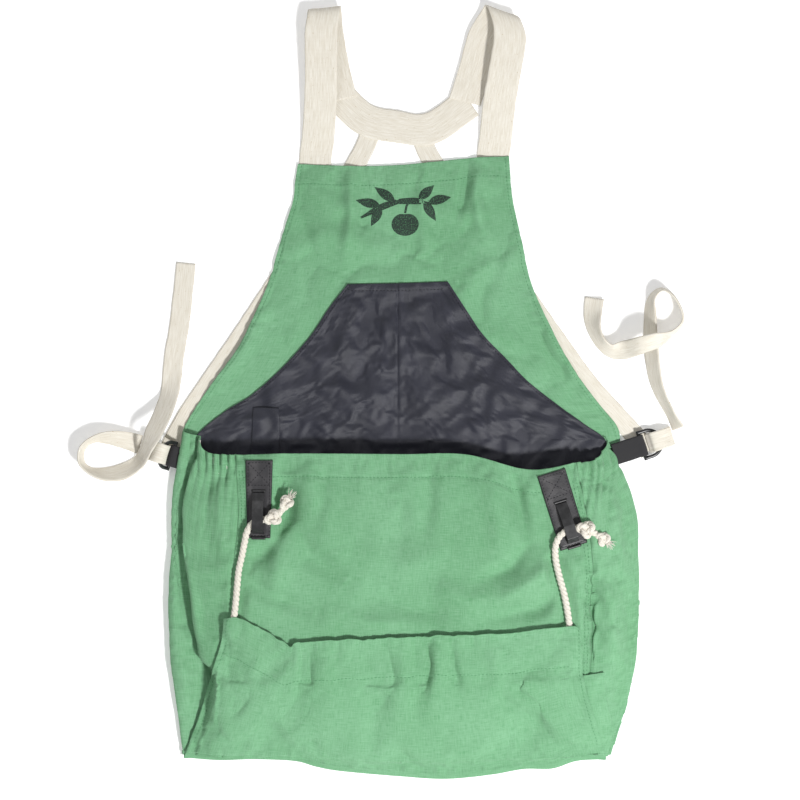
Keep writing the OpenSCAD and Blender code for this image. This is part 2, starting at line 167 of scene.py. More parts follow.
# ------------------------------------------------------------------ materials
class Nodes:
    """Short calls for building a node material."""

    def __init__(self, name):
        self.material = bpy.data.materials.new(name)
        self.material.use_nodes = True
        self.tree = self.material.node_tree
        self.shader = self.tree.nodes["Principled BSDF"]

    def add(self, kind, inputs=None, **settings):
        node = self.tree.nodes.new(kind)
        for key, value in settings.items():
            setattr(node, key, value)
        for key, value in (inputs or {}).items():
            if isinstance(value, bpy.types.NodeSocket):
                self.tree.links.new(value, node.inputs[key])
            else:
                node.inputs[key].default_value = value
        return node

    def uv(self, scale, turn=0.0):
        """The cloth's own coordinates in metres, times scale across and along, turned by an angle."""
        inputs = {"Vector": self.add("ShaderNodeTexCoord").outputs["UV"], "Scale": (*scale, 1),
                  "Rotation": (0, 0, turn)}
        return self.add("ShaderNodeMapping", inputs).outputs["Vector"]

    def noise(self, scale, detail=2.0, roughness=0.5):
        """Noise on the cloth's coordinates: scale is how many bumps a metre, each way."""
        inputs = {"Vector": self.uv(scale), "Scale": 1.0, "Detail": detail, "Roughness": roughness}
        return self.add("ShaderNodeTexNoise", inputs, noise_dimensions="2D").outputs["Fac"]

    def solid_noise(self, scale, detail=2.0):
        """Noise through space, for pieces with no cloth coordinates."""
        place = self.add("ShaderNodeTexCoord").outputs["Object"]
        inputs = {"Vector": place, "Scale": scale, "Detail": detail}
        return self.add("ShaderNodeTexNoise", inputs).outputs["Fac"]

    def math(self, operation, a, b=0.0):
        return self.add("ShaderNodeMath", {0: a, 1: b}, operation=operation).outputs[0]

    def ramp(self, value, low, high):
        """Stretches value so that low becomes 0 and high becomes 1."""
        node = self.add("ShaderNodeMapRange", {"Value": value, "From Min": low, "From Max": high})
        return node.outputs["Result"]

    def mix(self, factor, first, second):
        node = self.add("ShaderNodeMix", data_type="RGBA")
        self.tree.links.new(factor, node.inputs["Factor"])
        for socket, value in (("A", first), ("B", second)):
            target = [i for i in node.inputs if i.name == socket and i.type == "RGBA"][0]
            if isinstance(value, bpy.types.NodeSocket):
                self.tree.links.new(value, target)
            else:
                target.default_value = (*value, 1)
        return [o for o in node.outputs if o.type == "RGBA"][0]

    def threads(self, pitch_mm, turn=0.0):
        """Height of a plain weave: warp and weft threads that pass over each other in turn."""
        per_metre = 1 / (pitch_mm * MM)
        split = self.add("ShaderNodeSeparateXYZ", {"Vector": self.uv((per_metre, per_metre), turn)})
        x = self.math("MULTIPLY", split.outputs["X"], math.pi)
        y = self.math("MULTIPLY", split.outputs["Y"], math.pi)
        warp = self.math("ABSOLUTE", self.math("SINE", x))
        weft = self.math("ABSOLUTE", self.math("SINE", y))
        over = self.math("MULTIPLY", self.math("SINE", x), self.math("SINE", y))
        over = self.ramp(over, -0.4, 0.4)
        return self.mix(over, self.grey(warp), self.grey(weft))

    def grey(self, value):
        return self.add("ShaderNodeCombineColor", {0: value, 1: value, 2: value}).outputs[0]

    def bump(self, height, distance_mm, strength=1.0, after=None):
        inputs = {"Height": height, "Distance": distance_mm * MM, "Strength": strength}
        if after is not None:
            inputs["Normal"] = after
        return self.add("ShaderNodeBump", inputs).outputs["Normal"]

    def finish(self, colour, normal=None, roughness=0.8, sheen=0.0, specular=0.5):
        self.shader.inputs["Roughness"].default_value = roughness
        self.shader.inputs["Specular IOR Level"].default_value = specular
        self.shader.inputs["Sheen Weight"].default_value = sheen
        self.shader.inputs["Sheen Roughness"].default_value = 0.5
        if isinstance(colour, bpy.types.NodeSocket):
            self.tree.links.new(colour, self.shader.inputs["Base Color"])
        else:
            self.shader.inputs["Base Color"].default_value = (*colour, 1)
        if normal is not None:
            self.tree.links.new(normal, self.shader.inputs["Normal"])
        return self.material


def plain_material(name, colour, roughness):
    return Nodes(name).finish(colour, roughness=roughness)


def canvas_material():
    """Green cotton canvas: heathered greens with slubs both ways, and a painted highlight on the raised
    crests of the threads.
    """
    n = Nodes("green_canvas")
    warp_slub = n.ramp(n.noise((1100, 70), detail=3), 0.3, 0.7)
    weft_slub = n.ramp(n.noise((70, 1100), detail=3), 0.3, 0.7)
    heather = n.math("MULTIPLY", n.math("ADD", warp_slub, weft_slub), 0.5)
    cloud = n.ramp(n.noise((9, 9), detail=4), 0.3, 0.7)
    thread = n.threads(0.8)
    base = n.mix(heather, (0.088, 0.262, 0.118), (0.195, 0.415, 0.235))
    shade = n.mix(cloud, (0.122, 0.310, 0.152), (0.182, 0.395, 0.222))
    colour = n.mix(n.ramp(n.noise((260, 260), detail=5), 0.2, 0.9), base, shade)
    # painted highlight: the raised crests of the weave are made paler, most where the slubs are strongest
    thread_crest_highlight = n.mix(n.ramp(thread, 0.35, 1.0), colour, (0.26, 0.48, 0.31))
    colour = n.mix(n.math("MULTIPLY", heather, 0.6), colour, thread_crest_highlight)
    normal = n.bump(thread, 0.22, 0.6)
    normal = n.bump(heather, 0.25, 0.5, after=normal)
    return n.finish(colour, normal, roughness=0.88, sheen=0.08, specular=0.25)


def lining_material():
    """Dark nylon: fine weave with a soft shine."""
    n = Nodes("dark_lining")
    cloud = n.ramp(n.noise((30, 12), detail=5, roughness=0.6), 0.3, 0.75)
    colour = n.mix(cloud, (0.013, 0.014, 0.023), (0.022, 0.023, 0.036))
    thread = n.threads(0.5, math.radians(45))
    crumple = n.noise((60, 60), detail=6, roughness=0.6)
    normal = n.bump(crumple, 0.6, 0.35)
    normal = n.bump(thread, 0.12, 0.5, after=normal)
    return n.finish(colour, normal, roughness=0.5, sheen=0.1, specular=0.42)


def cotton_material(name, rib_mm, tint=(0.66, 0.615, 0.525), pale=(0.78, 0.75, 0.68)):
    """Undyed cotton webbing or tape, with its ribs, flecks of seed, a soft nap, and painted shade in the low
    places between its threads.
    """
    n = Nodes(name)
    streak = n.ramp(n.noise((900, 60), detail=3), 0.3, 0.75)
    colour = n.mix(streak, tint, pale)
    fleck = n.ramp(n.noise((500, 350), detail=2), 0.74, 0.8)
    colour = n.mix(fleck, colour, (0.5, 0.4, 0.27))
    thread = n.threads(rib_mm)
    # painted shade: the low places between the threads are darkened
    colour = n.mix(n.ramp(thread, 0.0, 0.5), (tint[0] * 0.84, tint[1] * 0.82, tint[2] * 0.76), colour)
    normal = n.bump(thread, 0.3, 0.7)
    return n.finish(colour, normal, roughness=0.9, sheen=0.12, specular=0.2)


def rope_material():
    """Twisted cotton yarn: fine fibres along each strand."""
    n = Nodes("cotton_cord")
    fibre = n.ramp(n.noise((500, 2600), detail=4), 0.25, 0.75)
    colour = n.mix(fibre, (0.62, 0.57, 0.48), (0.82, 0.79, 0.72))
    normal = n.bump(fibre, 0.35, 0.8)
    return n.finish(colour, normal, roughness=0.92, sheen=0.15, specular=0.2)


def leather_material():
    """Black imitation leather with a fine pebble grain."""
    n = Nodes("black_leather")
    vector = n.uv((1, 1))
    cells = n.add("ShaderNodeTexVoronoi", {"Vector": vector, "Scale": 900.0}, feature="SMOOTH_F1")
    rub = n.ramp(n.noise((60, 60), detail=4), 0.45, 0.75)
    colour = n.mix(rub, (0.026, 0.025, 0.028), (0.060, 0.057, 0.060))
    normal = n.bump(cells.outputs["Distance"], 0.25, 0.55)
    return n.finish(colour, normal, roughness=0.5, specular=0.5)


def plastic_material(name, roughness, grain_mm):
    """Moulded black plastic with a fine spark finish, rubbed paler here and there."""
    n = Nodes(name)
    rub = n.ramp(n.solid_noise(120, 4), 0.45, 0.7)
    colour = n.mix(rub, (0.013, 0.013, 0.014), (0.034, 0.034, 0.036))
    normal = n.bump(n.solid_noise(1500, 3), grain_mm, 0.5)
    return n.finish(colour, normal, roughness=roughness, specular=0.5)


def black_webbing_material():
    n = Nodes("black_webbing")
    thread = n.threads(1.1)
    # painted shade and highlight: darker in the low places between the threads, paler on their crests
    colour = n.mix(n.ramp(thread, 0.1, 0.9), (0.008, 0.008, 0.009), (0.034, 0.033, 0.036))
    return n.finish(colour, n.bump(thread, 0.3, 0.8), roughness=0.75, sheen=0.15, specular=0.3)


def thread_material(name, colour):
    """Sewing thread: two twisted plies."""
    n = Nodes(name)
    twist = n.solid_noise(3000)
    dark = tuple(c * 0.6 for c in colour)
    return n.finish(n.mix(twist, dark, colour), n.bump(twist, 0.1, 0.5), roughness=0.75, specular=0.3)


def print_material():
    """Screen print: dark ink that sinks into the weave."""
    n = Nodes("ink")
    gap = n.ramp(n.noise((700, 700), detail=3), 0.32, 0.5)
    colour = n.mix(gap, (0.05, 0.14, 0.07), (0.022, 0.034, 0.028))
    return n.finish(colour, n.bump(n.threads(0.8), 0.2, 0.5), roughness=0.8, specular=0.25)


MATERIALS = {
    "green_canvas": canvas_material(),
    "dark_lining": lining_material(),
    "cotton_webbing": cotton_material("cotton_webbing", 1.5),
    "cotton_tape": cotton_material("cotton_tape", 1.2),
    "elastic": cotton_material("elastic", 1.0, (0.7, 0.68, 0.62), (0.85, 0.83, 0.78)),
    "cotton_cord": rope_material(),
    "black_leather": leather_material(),
    "clip_plastic": plastic_material("clip_plastic", 0.42, 0.08),
    "ring_plastic": plastic_material("ring_plastic", 0.3, 0.05),
    "black_webbing": black_webbing_material(),
    "green_thread": thread_material("green_thread", (0.115, 0.33, 0.16)),
    "dark_thread": thread_material("dark_thread", (0.016, 0.016, 0.02)),
    "ink": print_material(),
}


# ------------------------------------------------------------------ numbers and curves
def value_noise(x, y, seed):
    """Smooth noise from -1 to 1, one bump to each unit."""
    xi, yi = np.floor(x), np.floor(y)
    xf, yf = x - xi, y - yi

    def corner(i, j):
        h = np.sin(i * 127.1 + j * 311.7 + seed * 74.7) * 43758.5453
        return 2 * (h - np.floor(h)) - 1

    sx = xf * xf * (3 - 2 * xf)
    sy = yf * yf * (3 - 2 * yf)
    low = corner(xi, yi) * (1 - sx) + corner(xi + 1, yi) * sx
    high = corner(xi, yi + 1) * (1 - sx) + corner(xi + 1, yi + 1) * sx
    return low * (1 - sy) + high * sy


def rough(x, y, seed, octaves=3):
    total = np.zeros_like(np.asarray(x, float))
    for k in range(octaves):
        total = total + value_noise(x * 2 ** k, y * 2 ** k, seed + 11 * k) / 2 ** k
    return total


def smooth_step(x, low, high):
    t = np.clip((x - low) / (high - low), 0, 1)
    return t * t * (3 - 2 * t)


def length_of(points):
    return float(np.linalg.norm(np.diff(np.array(points, float), axis=0), axis=1).sum())


def run_along(points):
    """How far along a path each of its points is."""
    return np.concatenate([[0], np.cumsum(np.linalg.norm(np.diff(points, axis=0), axis=1))])


def spline(points, count):
    """count points evenly spaced along a smooth curve through points."""
    p = np.array(points, float)
    ends = np.vstack([2 * p[0] - p[1], p, 2 * p[-1] - p[-2]])
    fine = []
    steps = 24          # between one point and the next
    for i in range(len(p) - 1):
        a, b, c, d = ends[i:i + 4]
        for k in range(steps):
            t = k / steps
            fine.append(0.5 * (2 * b + (c - a) * t + (2 * a - 5 * b + 4 * c - d) * t * t
                               + (3 * b - a - 3 * c + d) * t ** 3))
    fine.append(p[-1])
    fine = np.array(fine)
    run = run_along(fine)
    at = np.linspace(0, run[-1], count)
    return np.stack([np.interp(at, run, fine[:, k]) for k in range(fine.shape[1])], axis=1)


def unit(vectors):
    """Vectors, or rows of them, made one long."""
    return vectors / np.linalg.norm(vectors, axis=-1, keepdims=True)


def directions(path):
    """Which way a path runs at each of its points."""
    return unit(np.gradient(path, axis=0))


def curve_through(knots, values):
    """A smooth function through (knot, value) pairs, knots rising."""
    k, v = np.array(knots, float), np.array(values, float)

    def at(x):
        x = np.clip(x, k[0], k[-1])
        slope = np.gradient(v, k)
        i = np.clip(np.searchsorted(k, x) - 1, 0, len(k) - 2)
        h = k[i + 1] - k[i]
        t = (x - k[i]) / h
        return ((2 * t ** 3 - 3 * t ** 2 + 1) * v[i] + (t ** 3 - 2 * t ** 2 + t) * h * slope[i]
                + (3 * t ** 2 - 2 * t ** 3) * v[i + 1] + (t ** 3 - t ** 2) * h * slope[i + 1])
    return at


def resample(grid, rows, cols):
    """A grid of points with more or fewer rows and columns, smoothly."""
    def along(array, count):
        n = len(array)
        at = np.linspace(0, n - 1, count)
        i = np.clip(np.floor(at).astype(int), 0, n - 2)
        t = (at - i)[:, None, None]
        a, b = array[np.clip(i - 1, 0, n - 1)], array[i]
        c, d = array[i + 1], array[np.clip(i + 2, 0, n - 1)]
        return 0.5 * (2 * b + (c - a) * t + (2 * a - 5 * b + 4 * c - d) * t * t
                      + (3 * b - a - 3 * c + d) * t ** 3)
    grid = along(grid, rows)
    return along(grid.transpose(1, 0, 2), cols).transpose(1, 0, 2)


def normals_of(grid):
    """Unit normals of a grid whose rows go up +Y and columns go along +X."""
    across = np.gradient(grid, axis=1)
    along = np.gradient(grid, axis=0)
    n = np.cross(across, along)
    return n / np.maximum(np.linalg.norm(n, axis=2, keepdims=True), 1e-9)


def distance_to(x, y, line):
    """Distance of points from a polyline, and how far along it the nearest place is."""
    line = np.array(line, float)
    best = np.full(x.shape, 1e9)
    place = np.zeros(x.shape)
    total = length_of(line)
    run = 0.0
    for a, b in zip(line[:-1], line[1:]):
        d = b - a
        size = float(np.hypot(*d))
        t = np.clip(((x - a[0]) * d[0] + (y - a[1]) * d[1]) / size ** 2, 0, 1)
        gap = np.hypot(x - a[0] - t * d[0], y - a[1] - t * d[1])
        nearer = gap < best
        best = np.where(nearer, gap, best)
        place = np.where(nearer, (run + t * size) / total, place)
        run += size
    return best, place


def folds(x, y, lines):
    """Height of soft folds. Each line is (points, height, half width), and fades at its ends."""
    total = np.zeros_like(x)
    for points, height, width in lines:
        gap, place = distance_to(x, y, points)
        fade = np.sin(math.pi * np.clip(place, 0.04, 0.96)) ** 0.6
        total = total + height * np.exp(-(gap / width) ** 2) * fade
    return total


# ------------------------------------------------------------------ meshes
def new_object(name, verts_mm, faces, material, uvs=None):
    mesh = bpy.data.meshes.new(name)
    mesh.from_pydata((np.asarray(verts_mm, float) * MM).tolist(), [], faces)
    if uvs is not None:
        layer = mesh.uv_layers.new(name="UVMap")
        index = np.zeros(len(mesh.loops), int)
        mesh.loops.foreach_get("vertex_index", index)
        layer.data.foreach_set("uv", (np.asarray(uvs, float) * MM)[index].ravel())
    mesh.polygons.foreach_set("use_smooth", [True] * len(mesh.polygons))
    mesh.materials.append(MATERIALS[material])
    mesh.update()
    made = bpy.data.objects.new(name, mesh)
    bpy.context.scene.collection.objects.link(made)
    return made


def arc_uv(grid):
    """Cloth coordinates in millimetres, from the mean lengths of the grid's cells each way."""
    across = np.linalg.norm(np.diff(grid, axis=1), axis=2).mean(axis=0)
    along = np.linalg.norm(np.diff(grid, axis=0), axis=2).mean(axis=1)
    u = np.concatenate([[0], np.cumsum(across)])
    v = np.concatenate([[0], np.cumsum(along)])
    return np.stack(np.meshgrid(u - u[-1] / 2, v), axis=2).reshape(-1, 2)


def sheet_mesh(name, grid, thickness, material):
    """A closed sheet: grid is its outer face, and its inner face is thickness below."""
    rows, cols = grid.shape[:2]
    n = rows * cols
    inner = grid - normals_of(grid) * thickness
    verts = np.vstack([grid.reshape(-1, 3), inner.reshape(-1, 3)])
    i = (np.arange(rows - 1)[:, None] * cols + np.arange(cols - 1)).ravel()
    faces = np.stack([i, i + 1, i + cols + 1, i + cols], axis=1)
    under = np.stack([i + n, i + n + cols, i + n + cols + 1, i + n + 1], axis=1)
    rim = np.concatenate([
        np.arange(cols - 1), np.arange(rows - 1) * cols + cols - 1,
        (rows - 1) * cols + np.arange(cols - 1, 0, -1), np.arange(rows - 1, 0, -1) * cols])
    after = np.roll(rim, -1)
    sides = np.stack([rim, rim + n, after + n, after], axis=1)
    uv = arc_uv(grid)
    return new_object(name, verts, np.vstack([faces, under, sides]).tolist(), material, np.vstack([uv, uv]))


def tube_mesh(name, path, radius, sides, material, lobes=0, depth=0.0, pitch=24.0):
    """A tube along path. With lobes it is a twisted rope of that many strands."""
    path = np.array(path, float)
    count = len(path)
    way = directions(path)
    side = np.cross(way[0], (0, 0, 1))
    if np.linalg.norm(side) < 0.1:
        side = np.cross(way[0], (0, 1, 0))
    frames = []
    for k in range(count):
        side = unit(side - way[k] * (side @ way[k]))
        frames.append((side.copy(), np.cross(side, way[k])))
    run = run_along(path)
    angle = np.arange(sides) * 2 * math.pi / sides
    size = np.broadcast_to(np.asarray(radius, float), (count,))
    verts, uvs = [], []
    for k in range(count):
        turn = 2 * math.pi * run[k] / pitch
        lobe = 1 - depth * (1 - np.abs(np.cos((angle - turn) * lobes / 2)) ** 0.7) if lobes else 1.0
        r = size[k] * lobe * np.ones(sides)
        s, u = frames[k]
        verts.append(path[k] + r[:, None] * (np.cos(angle)[:, None] * s + np.sin(angle)[:, None] * u))
        uvs.append(np.stack([np.full(sides, run[k]), angle * size[k]], axis=1))
    verts, uvs = np.vstack(verts), np.vstack(uvs)
    faces = []
    for k in range(count - 1):
        a = k * sides + np.arange(sides)
        b = k * sides + (np.arange(sides) + 1) % sides
        faces += np.stack([a, a + sides, b + sides, b], axis=1).tolist()
    faces.append(list(range(sides)))
    faces.append(list(range(count * sides - 1, (count - 1) * sides - 1, -1)))
    return new_object(name, verts, faces, material, uvs)


def join(name, objects):
    """Joins meshes of one or several materials into one object."""
    with bpy.context.temp_override(active_object=objects[0], object=objects[0],
                                   selected_objects=objects, selected_editable_objects=objects):
        bpy.ops.object.join()
    objects[0].name = name
    objects[0].data.name = name
    return objects[0]


def bvh_of(*objects):
    verts, faces = [], []
    for o in objects:
        start = len(verts)
        verts += [v.co[:] for v in o.data.vertices]
        faces += [[start + i for i in p.vertices] for p in o.data.polygons]
    return BVHTree.FromPolygons(verts, faces)


def height_over(tree, x, y, missing=0.0):
    """Height in millimetres of the highest surface over each x and y."""
    flat_x, flat_y = np.ravel(x), np.ravel(y)
    out = np.full(flat_x.shape, float(missing))
    for i in range(len(flat_x)):
        hit = tree.ray_cast(Vector((flat_x[i] * MM, flat_y[i] * MM, 0.4)), Vector((0, 0, -1)))[0]
        if hit is not None:
            out[i] = hit.z / MM
    return out.reshape(np.shape(x))


def blur(values, times):
    """Evens out a grid of numbers, keeping its size."""
    for _ in range(times):
        padded = np.pad(values, 1, mode="edge")
        values = (padded[:-2, 1:-1] + padded[2:, 1:-1] + padded[1:-1, :-2] + padded[1:-1, 2:]
                  + 4 * values) / 8
    return values


# ------------------------------------------------------------------ cloth simulation
def settle(grid, hold, growth, cap_mm, bend, frames=16, pressure=0.0, seed=1):
    """Lets a grid of cloth grow a little and buckle, with no gravity, and returns its new points.

    hold is 1 where the cloth is sewn down, and no point moves further than cap_mm.
    """
    rows, cols = grid.shape[:2]
    points = grid.reshape(-1, 3)
    start = points.copy()
    start[:, 2] += 0.25 * value_noise(points[:, 0] / 9, points[:, 1] / 9, seed)
    i = (np.arange(rows - 1)[:, None] * cols + np.arange(cols - 1)).ravel()
    faces = np.stack([i, i + 1, i + cols + 1, i + cols], axis=1)
    cloth = new_object("settling", start, faces.tolist(), "green_canvas")
    group = cloth.vertex_groups.new(name="hold")
    weights = np.clip(hold, 0, 1).ravel()
    for level in np.unique(np.round(weights, 2)):
        if level > 0:
            members = np.nonzero(np.round(weights, 2) == level)[0]
            group.add(members.tolist(), float(level), "REPLACE")
    modifier = cloth.modifiers.new("cloth", "CLOTH")
    settings = modifier.settings
    settings.vertex_group_mass = "hold"
    settings.quality = 6
    settings.mass = 0.25
    settings.tension_stiffness = settings.compression_stiffness = 30
    settings.shear_stiffness = 12
    settings.bending_stiffness = bend
    settings.shrink_min = -growth
    settings.air_damping = 3
    settings.pin_stiffness = 1.0
    settings.effector_weights.gravity = 0
    if pressure:
        settings.use_pressure = True
        settings.uniform_pressure_force = pressure
    modifier.collision_settings.use_collision = False
    modifier.collision_settings.use_self_collision = False
    scene = bpy.context.scene
    modifier.point_cache.frame_start = 1
    modifier.point_cache.frame_end = frames
    for frame_number in range(1, frames + 1):
        scene.frame_set(frame_number)
    settled = cloth.evaluated_get(bpy.context.evaluated_depsgraph_get())
    out = np.zeros(len(points) * 3)
    settled.data.vertices.foreach_get("co", out)
    out = out.reshape(-1, 3) / MM
    bpy.data.objects.remove(cloth)
    scene.frame_set(1)
    move = out - points
    size = np.linalg.norm(move, axis=1, keepdims=True)
    move *= cap_mm * np.tanh(size / cap_mm) / np.maximum(size, 1e-9)
    return (points + move).reshape(rows, cols, 3)


# ------------------------------------------------------------------ pouch
# Lines from the fold (0) up to the mouth (1), from the left foot round the front to the right
# foot. Each is (x, height) at the levels below; the gussets are tucked in behind soft folds.
LEVELS = (0, 0.2, 0.4, 0.6, 0.8, 1)
LEFT_LINES = [
    ((-244, -250, -254, -254, -250, -244), (5, 2.5, 2.5, 2.5, 2.5, 6)),
    ((-254, -265, -271, -270, -265, -252), (7, 9, 10, 10, 10, 10)),
    ((-250, -257, -262, -262, -259, -250), (10, 17, 19, 19, 17, 14)),
    ((-234, -216, -230, -244, -244, -232), (8, 8, 9, 9, 9, 11)),
    ((-238, -222, -236, -251, -250, -234), (12, 23, 27, 27, 25, 19)),
    ((-227, -218, -223, -230, -230, -224), (14, 29, 34, 35, 31, 24)),
    ((-210, -203, -200, -197, -190, -194), (16, 34, 40, 40.5, 39, 33)),
]
RIGHT_LINES = [
    ((212, 217, 222, 224, 217, 204), (16, 34, 40, 40.5, 39, 33)),
    ((224, 228, 233, 236, 230, 220), (15, 31, 37, 38, 35, 29)),
    ((232, 244, 250, 252, 247, 231), (13, 25, 31, 31, 29, 24)),
    ((241, 260, 270, 271, 265, 239), (10, 17, 19, 19, 18, 15)),
    ((247, 270, 280, 280, 275, 243), (8, 9, 10, 10, 10, 10)),
    ((241, 256, 266, 266, 262, 240), (5, 2.5, 2.5, 2.5, 2.5, 6)),
]
CASING = 27             # from the mouth's rim to the stitching of its casing
FRONT_X = (-0.72, -0.36, 0, 0.36, 0.72)     # shares of the way from the middle to each seam
FRONT_HEIGHTS = (14, 31, 39.5, 41, 40, 35)
POUCH_ROWS, POUCH_COLS = 241, 481
PATCH_TURN = {"left": 0, "right": 17}
PATCH_AT = {"left": (-163, 118, 43.73), "right": (188, 106, 42.49)}
PATCH_HALF = 45         # half a patch's length
UNDER_PATCH = 2.4       # from a patch's outer face down to the canvas
# The mouth's rim seen from above: (x, y), with the step down at its right
MOUTH = [
    (-244, 194), (-252, 197), (-250, 194), (-240, 190), (-232, 186), (-224, 172), (-194, 169),
    (-139, 170.5), (46, 169.5), (124, 168.5), (131, 162), (136, 153), (148, 152), (190, 158), (204, 160),
    (220, 161), (231, 166), (239, 175), (243, 184), (240, 190),
]
SEAMS_X = {"left": LEFT_LINES[-1][0], "right": RIGHT_LINES[0][0]}


def patch_frame(side):
    """Middle of a patch's outer face, and its across, along and outward directions."""
    tilt = Matrix.Rotation(math.radians(SIDES[side] * 4.5), 3, "Y")
    tilt = tilt @ Matrix.Rotation(math.radians(-2), 3, "X")
    turned = tilt @ Matrix.Rotation(math.radians(PATCH_TURN[side]), 3, "Z")
    return np.array(PATCH_AT[side]), np.array(turned)


def on_patch(side, across, along, out):
    """Points in a patch's own frame, turned into the shared one."""
    origin, rot = patch_frame(side)
    local = np.stack(np.broadcast_arrays(across, along, out), axis=-1).astype(float)
    return origin + local @ rot.T


def pouch_grid():
    """The pouch's front and gussets as one cloth, in millimetres, rows from fold to mouth."""
    lines = list(LEFT_LINES)
    left_x, right_x = np.array(SEAMS_X["left"]), np.array(SEAMS_X["right"])
    for share in FRONT_X:
        t = (share + 1) / 2
        lines.append((left_x + (right_x - left_x) * t, FRONT_HEIGHTS))
    lines += RIGHT_LINES
    count = len(lines)
    rim = spline(MOUTH, 400)
    order = np.argsort(rim[:, 0])
    rows = 57
    level = np.linspace(0, 1, rows)
    grid = np.zeros((rows, count, 3))
    for k, (xs, zs) in enumerate(lines):
        x = curve_through(LEVELS, xs)(level)
        z = curve_through(LEVELS, zs)(level)
        if k < len(LEFT_LINES):
            top = MOUTH[k][1]
        elif k >= count - len(RIGHT_LINES):
            top = MOUTH[len(MOUTH) - (count - k)][1]
        else:
            top = np.interp(x[-1], rim[order, 0], rim[order, 1])
        middle = 1 - (x[0] / 250) ** 2
        bottom = FOLD_Y + 2 - 8 * max(middle, 0)
        grid[:, k] = np.stack([x, bottom + (top - bottom) * level, z], axis=1)
    return grid


FRONT_FOLDS = [
    ([(-128, 150), (-132, 100), (-152, 62), (-176, 40)], -5.0, 11),
    ([(-124, 92), (-104, 52), (-60, 22)], -4.2, 12),
    ([(-150, 84), (-140, 40), (-150, -4)], 3.2, 13), ([(-188, 30), (-150, 8), (-96, -14)], -3.6, 10),
    ([(-112, 150), (-92, 110), (-70, 60)], 3.2, 16), ([(-60, 60), (0, 42), (70, 60)], 2.6, 20),
    ([(150, 66), (128, 40), (96, 26)], -4.4, 10), ([(184, 48), (150, 22), (110, -4)], 4.0, 11),
    ([(196, 20), (160, -8), (104, -20)], -4.0, 10), ([(128, 150), (140, 104), (148, 66)], -4.2, 9),
    ([(100, 150), (112, 100), (118, 50)], 3.0, 12), ([(40, 20), (80, 0), (120, 8)], 2.6, 12),
    ([(-30, 10), (20, -10), (60, -14)], -2.6, 12), ([(-90, 160), (-88, 120), (-96, 90)], -2.2, 8),
    ([(30, 160), (34, 110), (28, 70)], -1.8, 9), ([(-80, -8), (-40, -24), (10, -26)], 2.2, 9),
]
# Folds of the gussets, worked in after the cloth has settled
SIDE_FOLDS = [
    ([(-262, -34), (-244, -48), (-228, -66), (-214, -80)], 7.0, 7),
    ([(-222, -84), (-230, -104), (-240, -128)], -9.0, 9),
    ([(-250, 46), (-240, 4), (-234, -40), (-216, -74)], 4.0, 6),
    ([(-257, 60), (-250, 8), (-246, -28)], -6.0, 6),
    ([(-258, 150), (-262, 90), (-264, 20)], -3.0, 5), ([(-212, 150), (-206, 90), (-204, 30)], 2.2, 7),
    ([(-222, 150), (-224, 110), (-222, 60)], -2.4, 7), ([(-256, -60), (-250, -100), (-240, -140)], 4.5, 8),
    ([(238, 160), (240, 120), (236, 60)], -4.5, 8), ([(226, 150), (232, 110), (234, 50)], 3.6, 7),
    ([(254, 146), (262, 100), (262, 40)], -4.0, 9), ([(246, 120), (258, 60), (264, 10)], 4.0, 8),
    ([(222, 36), (224, -10), (226, -76)], -12.0, 10), ([(236, 40), (244, -20), (252, -90)], 4.5, 9),
    ([(262, 20), (272, -30), (268, -80)], -4.5, 9), ([(250, -60), (256, -100), (252, -140)], -4.0, 8),
]


def gathers(x, y, top, centre, spread, wave, height, reach):
    """Ripples below a gathered hem, dying away over reach."""
    below = np.clip(top - y, 0, None)
    strength = np.exp(-((x - centre) / spread) ** 4) * np.exp(-below / reach)
    drift = 2.5 * value_noise(x / 40, y / 30, 3)
    phase = (x + drift + 0.12 * below) / wave
    uneven = 0.7 + 0.4 * value_noise(x / (1.7 * wave), y / 60, 5)
    return height * strength * uneven * (2 * np.abs(np.sin(math.pi * phase)) ** 0.7 - 1.2)


def finer_columns(grid, cols):
    """Spreads the columns evenly along the cloth, measured half way up."""
    many = 600
    wide = resample(grid, grid.shape[0], many)
    middle = wide[wide.shape[0] // 2]
    run = run_along(middle)
    at = np.interp(np.linspace(0, run[-1], cols), run, np.arange(many))
    i = np.clip(np.floor(at).astype(int), 0, many - 2)
    t = (at - i)[None, :, None]
    return wide[:, i] * (1 - t) + wide[:, i + 1] * t


def seam_columns(grid):
    """The columns of a shell grid that run along the front's left and right seams."""
    half_way = grid[grid.shape[0] // 2]
    behind = 1000 * (half_way[:, 2] < 20)       # keeps off the gussets' tucked-in folds
    return [int(np.argmin(np.abs(half_way[:, 0] - SEAMS_X[side][3]) + behind)) for side in SIDES]


def pouch_hold(grid, seams):
    """How firmly each point of the shell is held: edges, seams, and under the patches."""
    hold = np.full(grid.shape[:2], 0.05)
    hold[0] = hold[-1] = 1
    hold[1] = hold[-2] = 0.8
    hold[:, :9] = hold[:, -9:] = 0.9
    hold[:, seams] = 0.6
    for side in SIDES:
        x, y = PATCH_AT[side][:2]
        near = np.hypot((grid[..., 0] - x) / 24, (grid[..., 1] - y) / 50) < 1
        hold[near] = np.maximum(hold[near], 0.9)
    return hold


def flatten_under_patch(grid, side):
    """Brings the cloth under a patch to the patch's plane."""
    centre, rot = patch_frame(side)
    across, along = np.moveaxis((grid - centre) @ rot, 2, 0)[:2]
    inside = (1 - smooth_step(np.abs(across), 12, 26)) * (1 - smooth_step(np.abs(along), 42, 58))
    slope = rot[0, 2] * (grid[..., 0] - centre[0]) + rot[1, 2] * (grid[..., 1] - centre[1])
    plane = centre[2] - UNDER_PATCH - slope / rot[2, 2]
    grid[..., 2] = grid[..., 2] * (1 - inside) + plane * inside


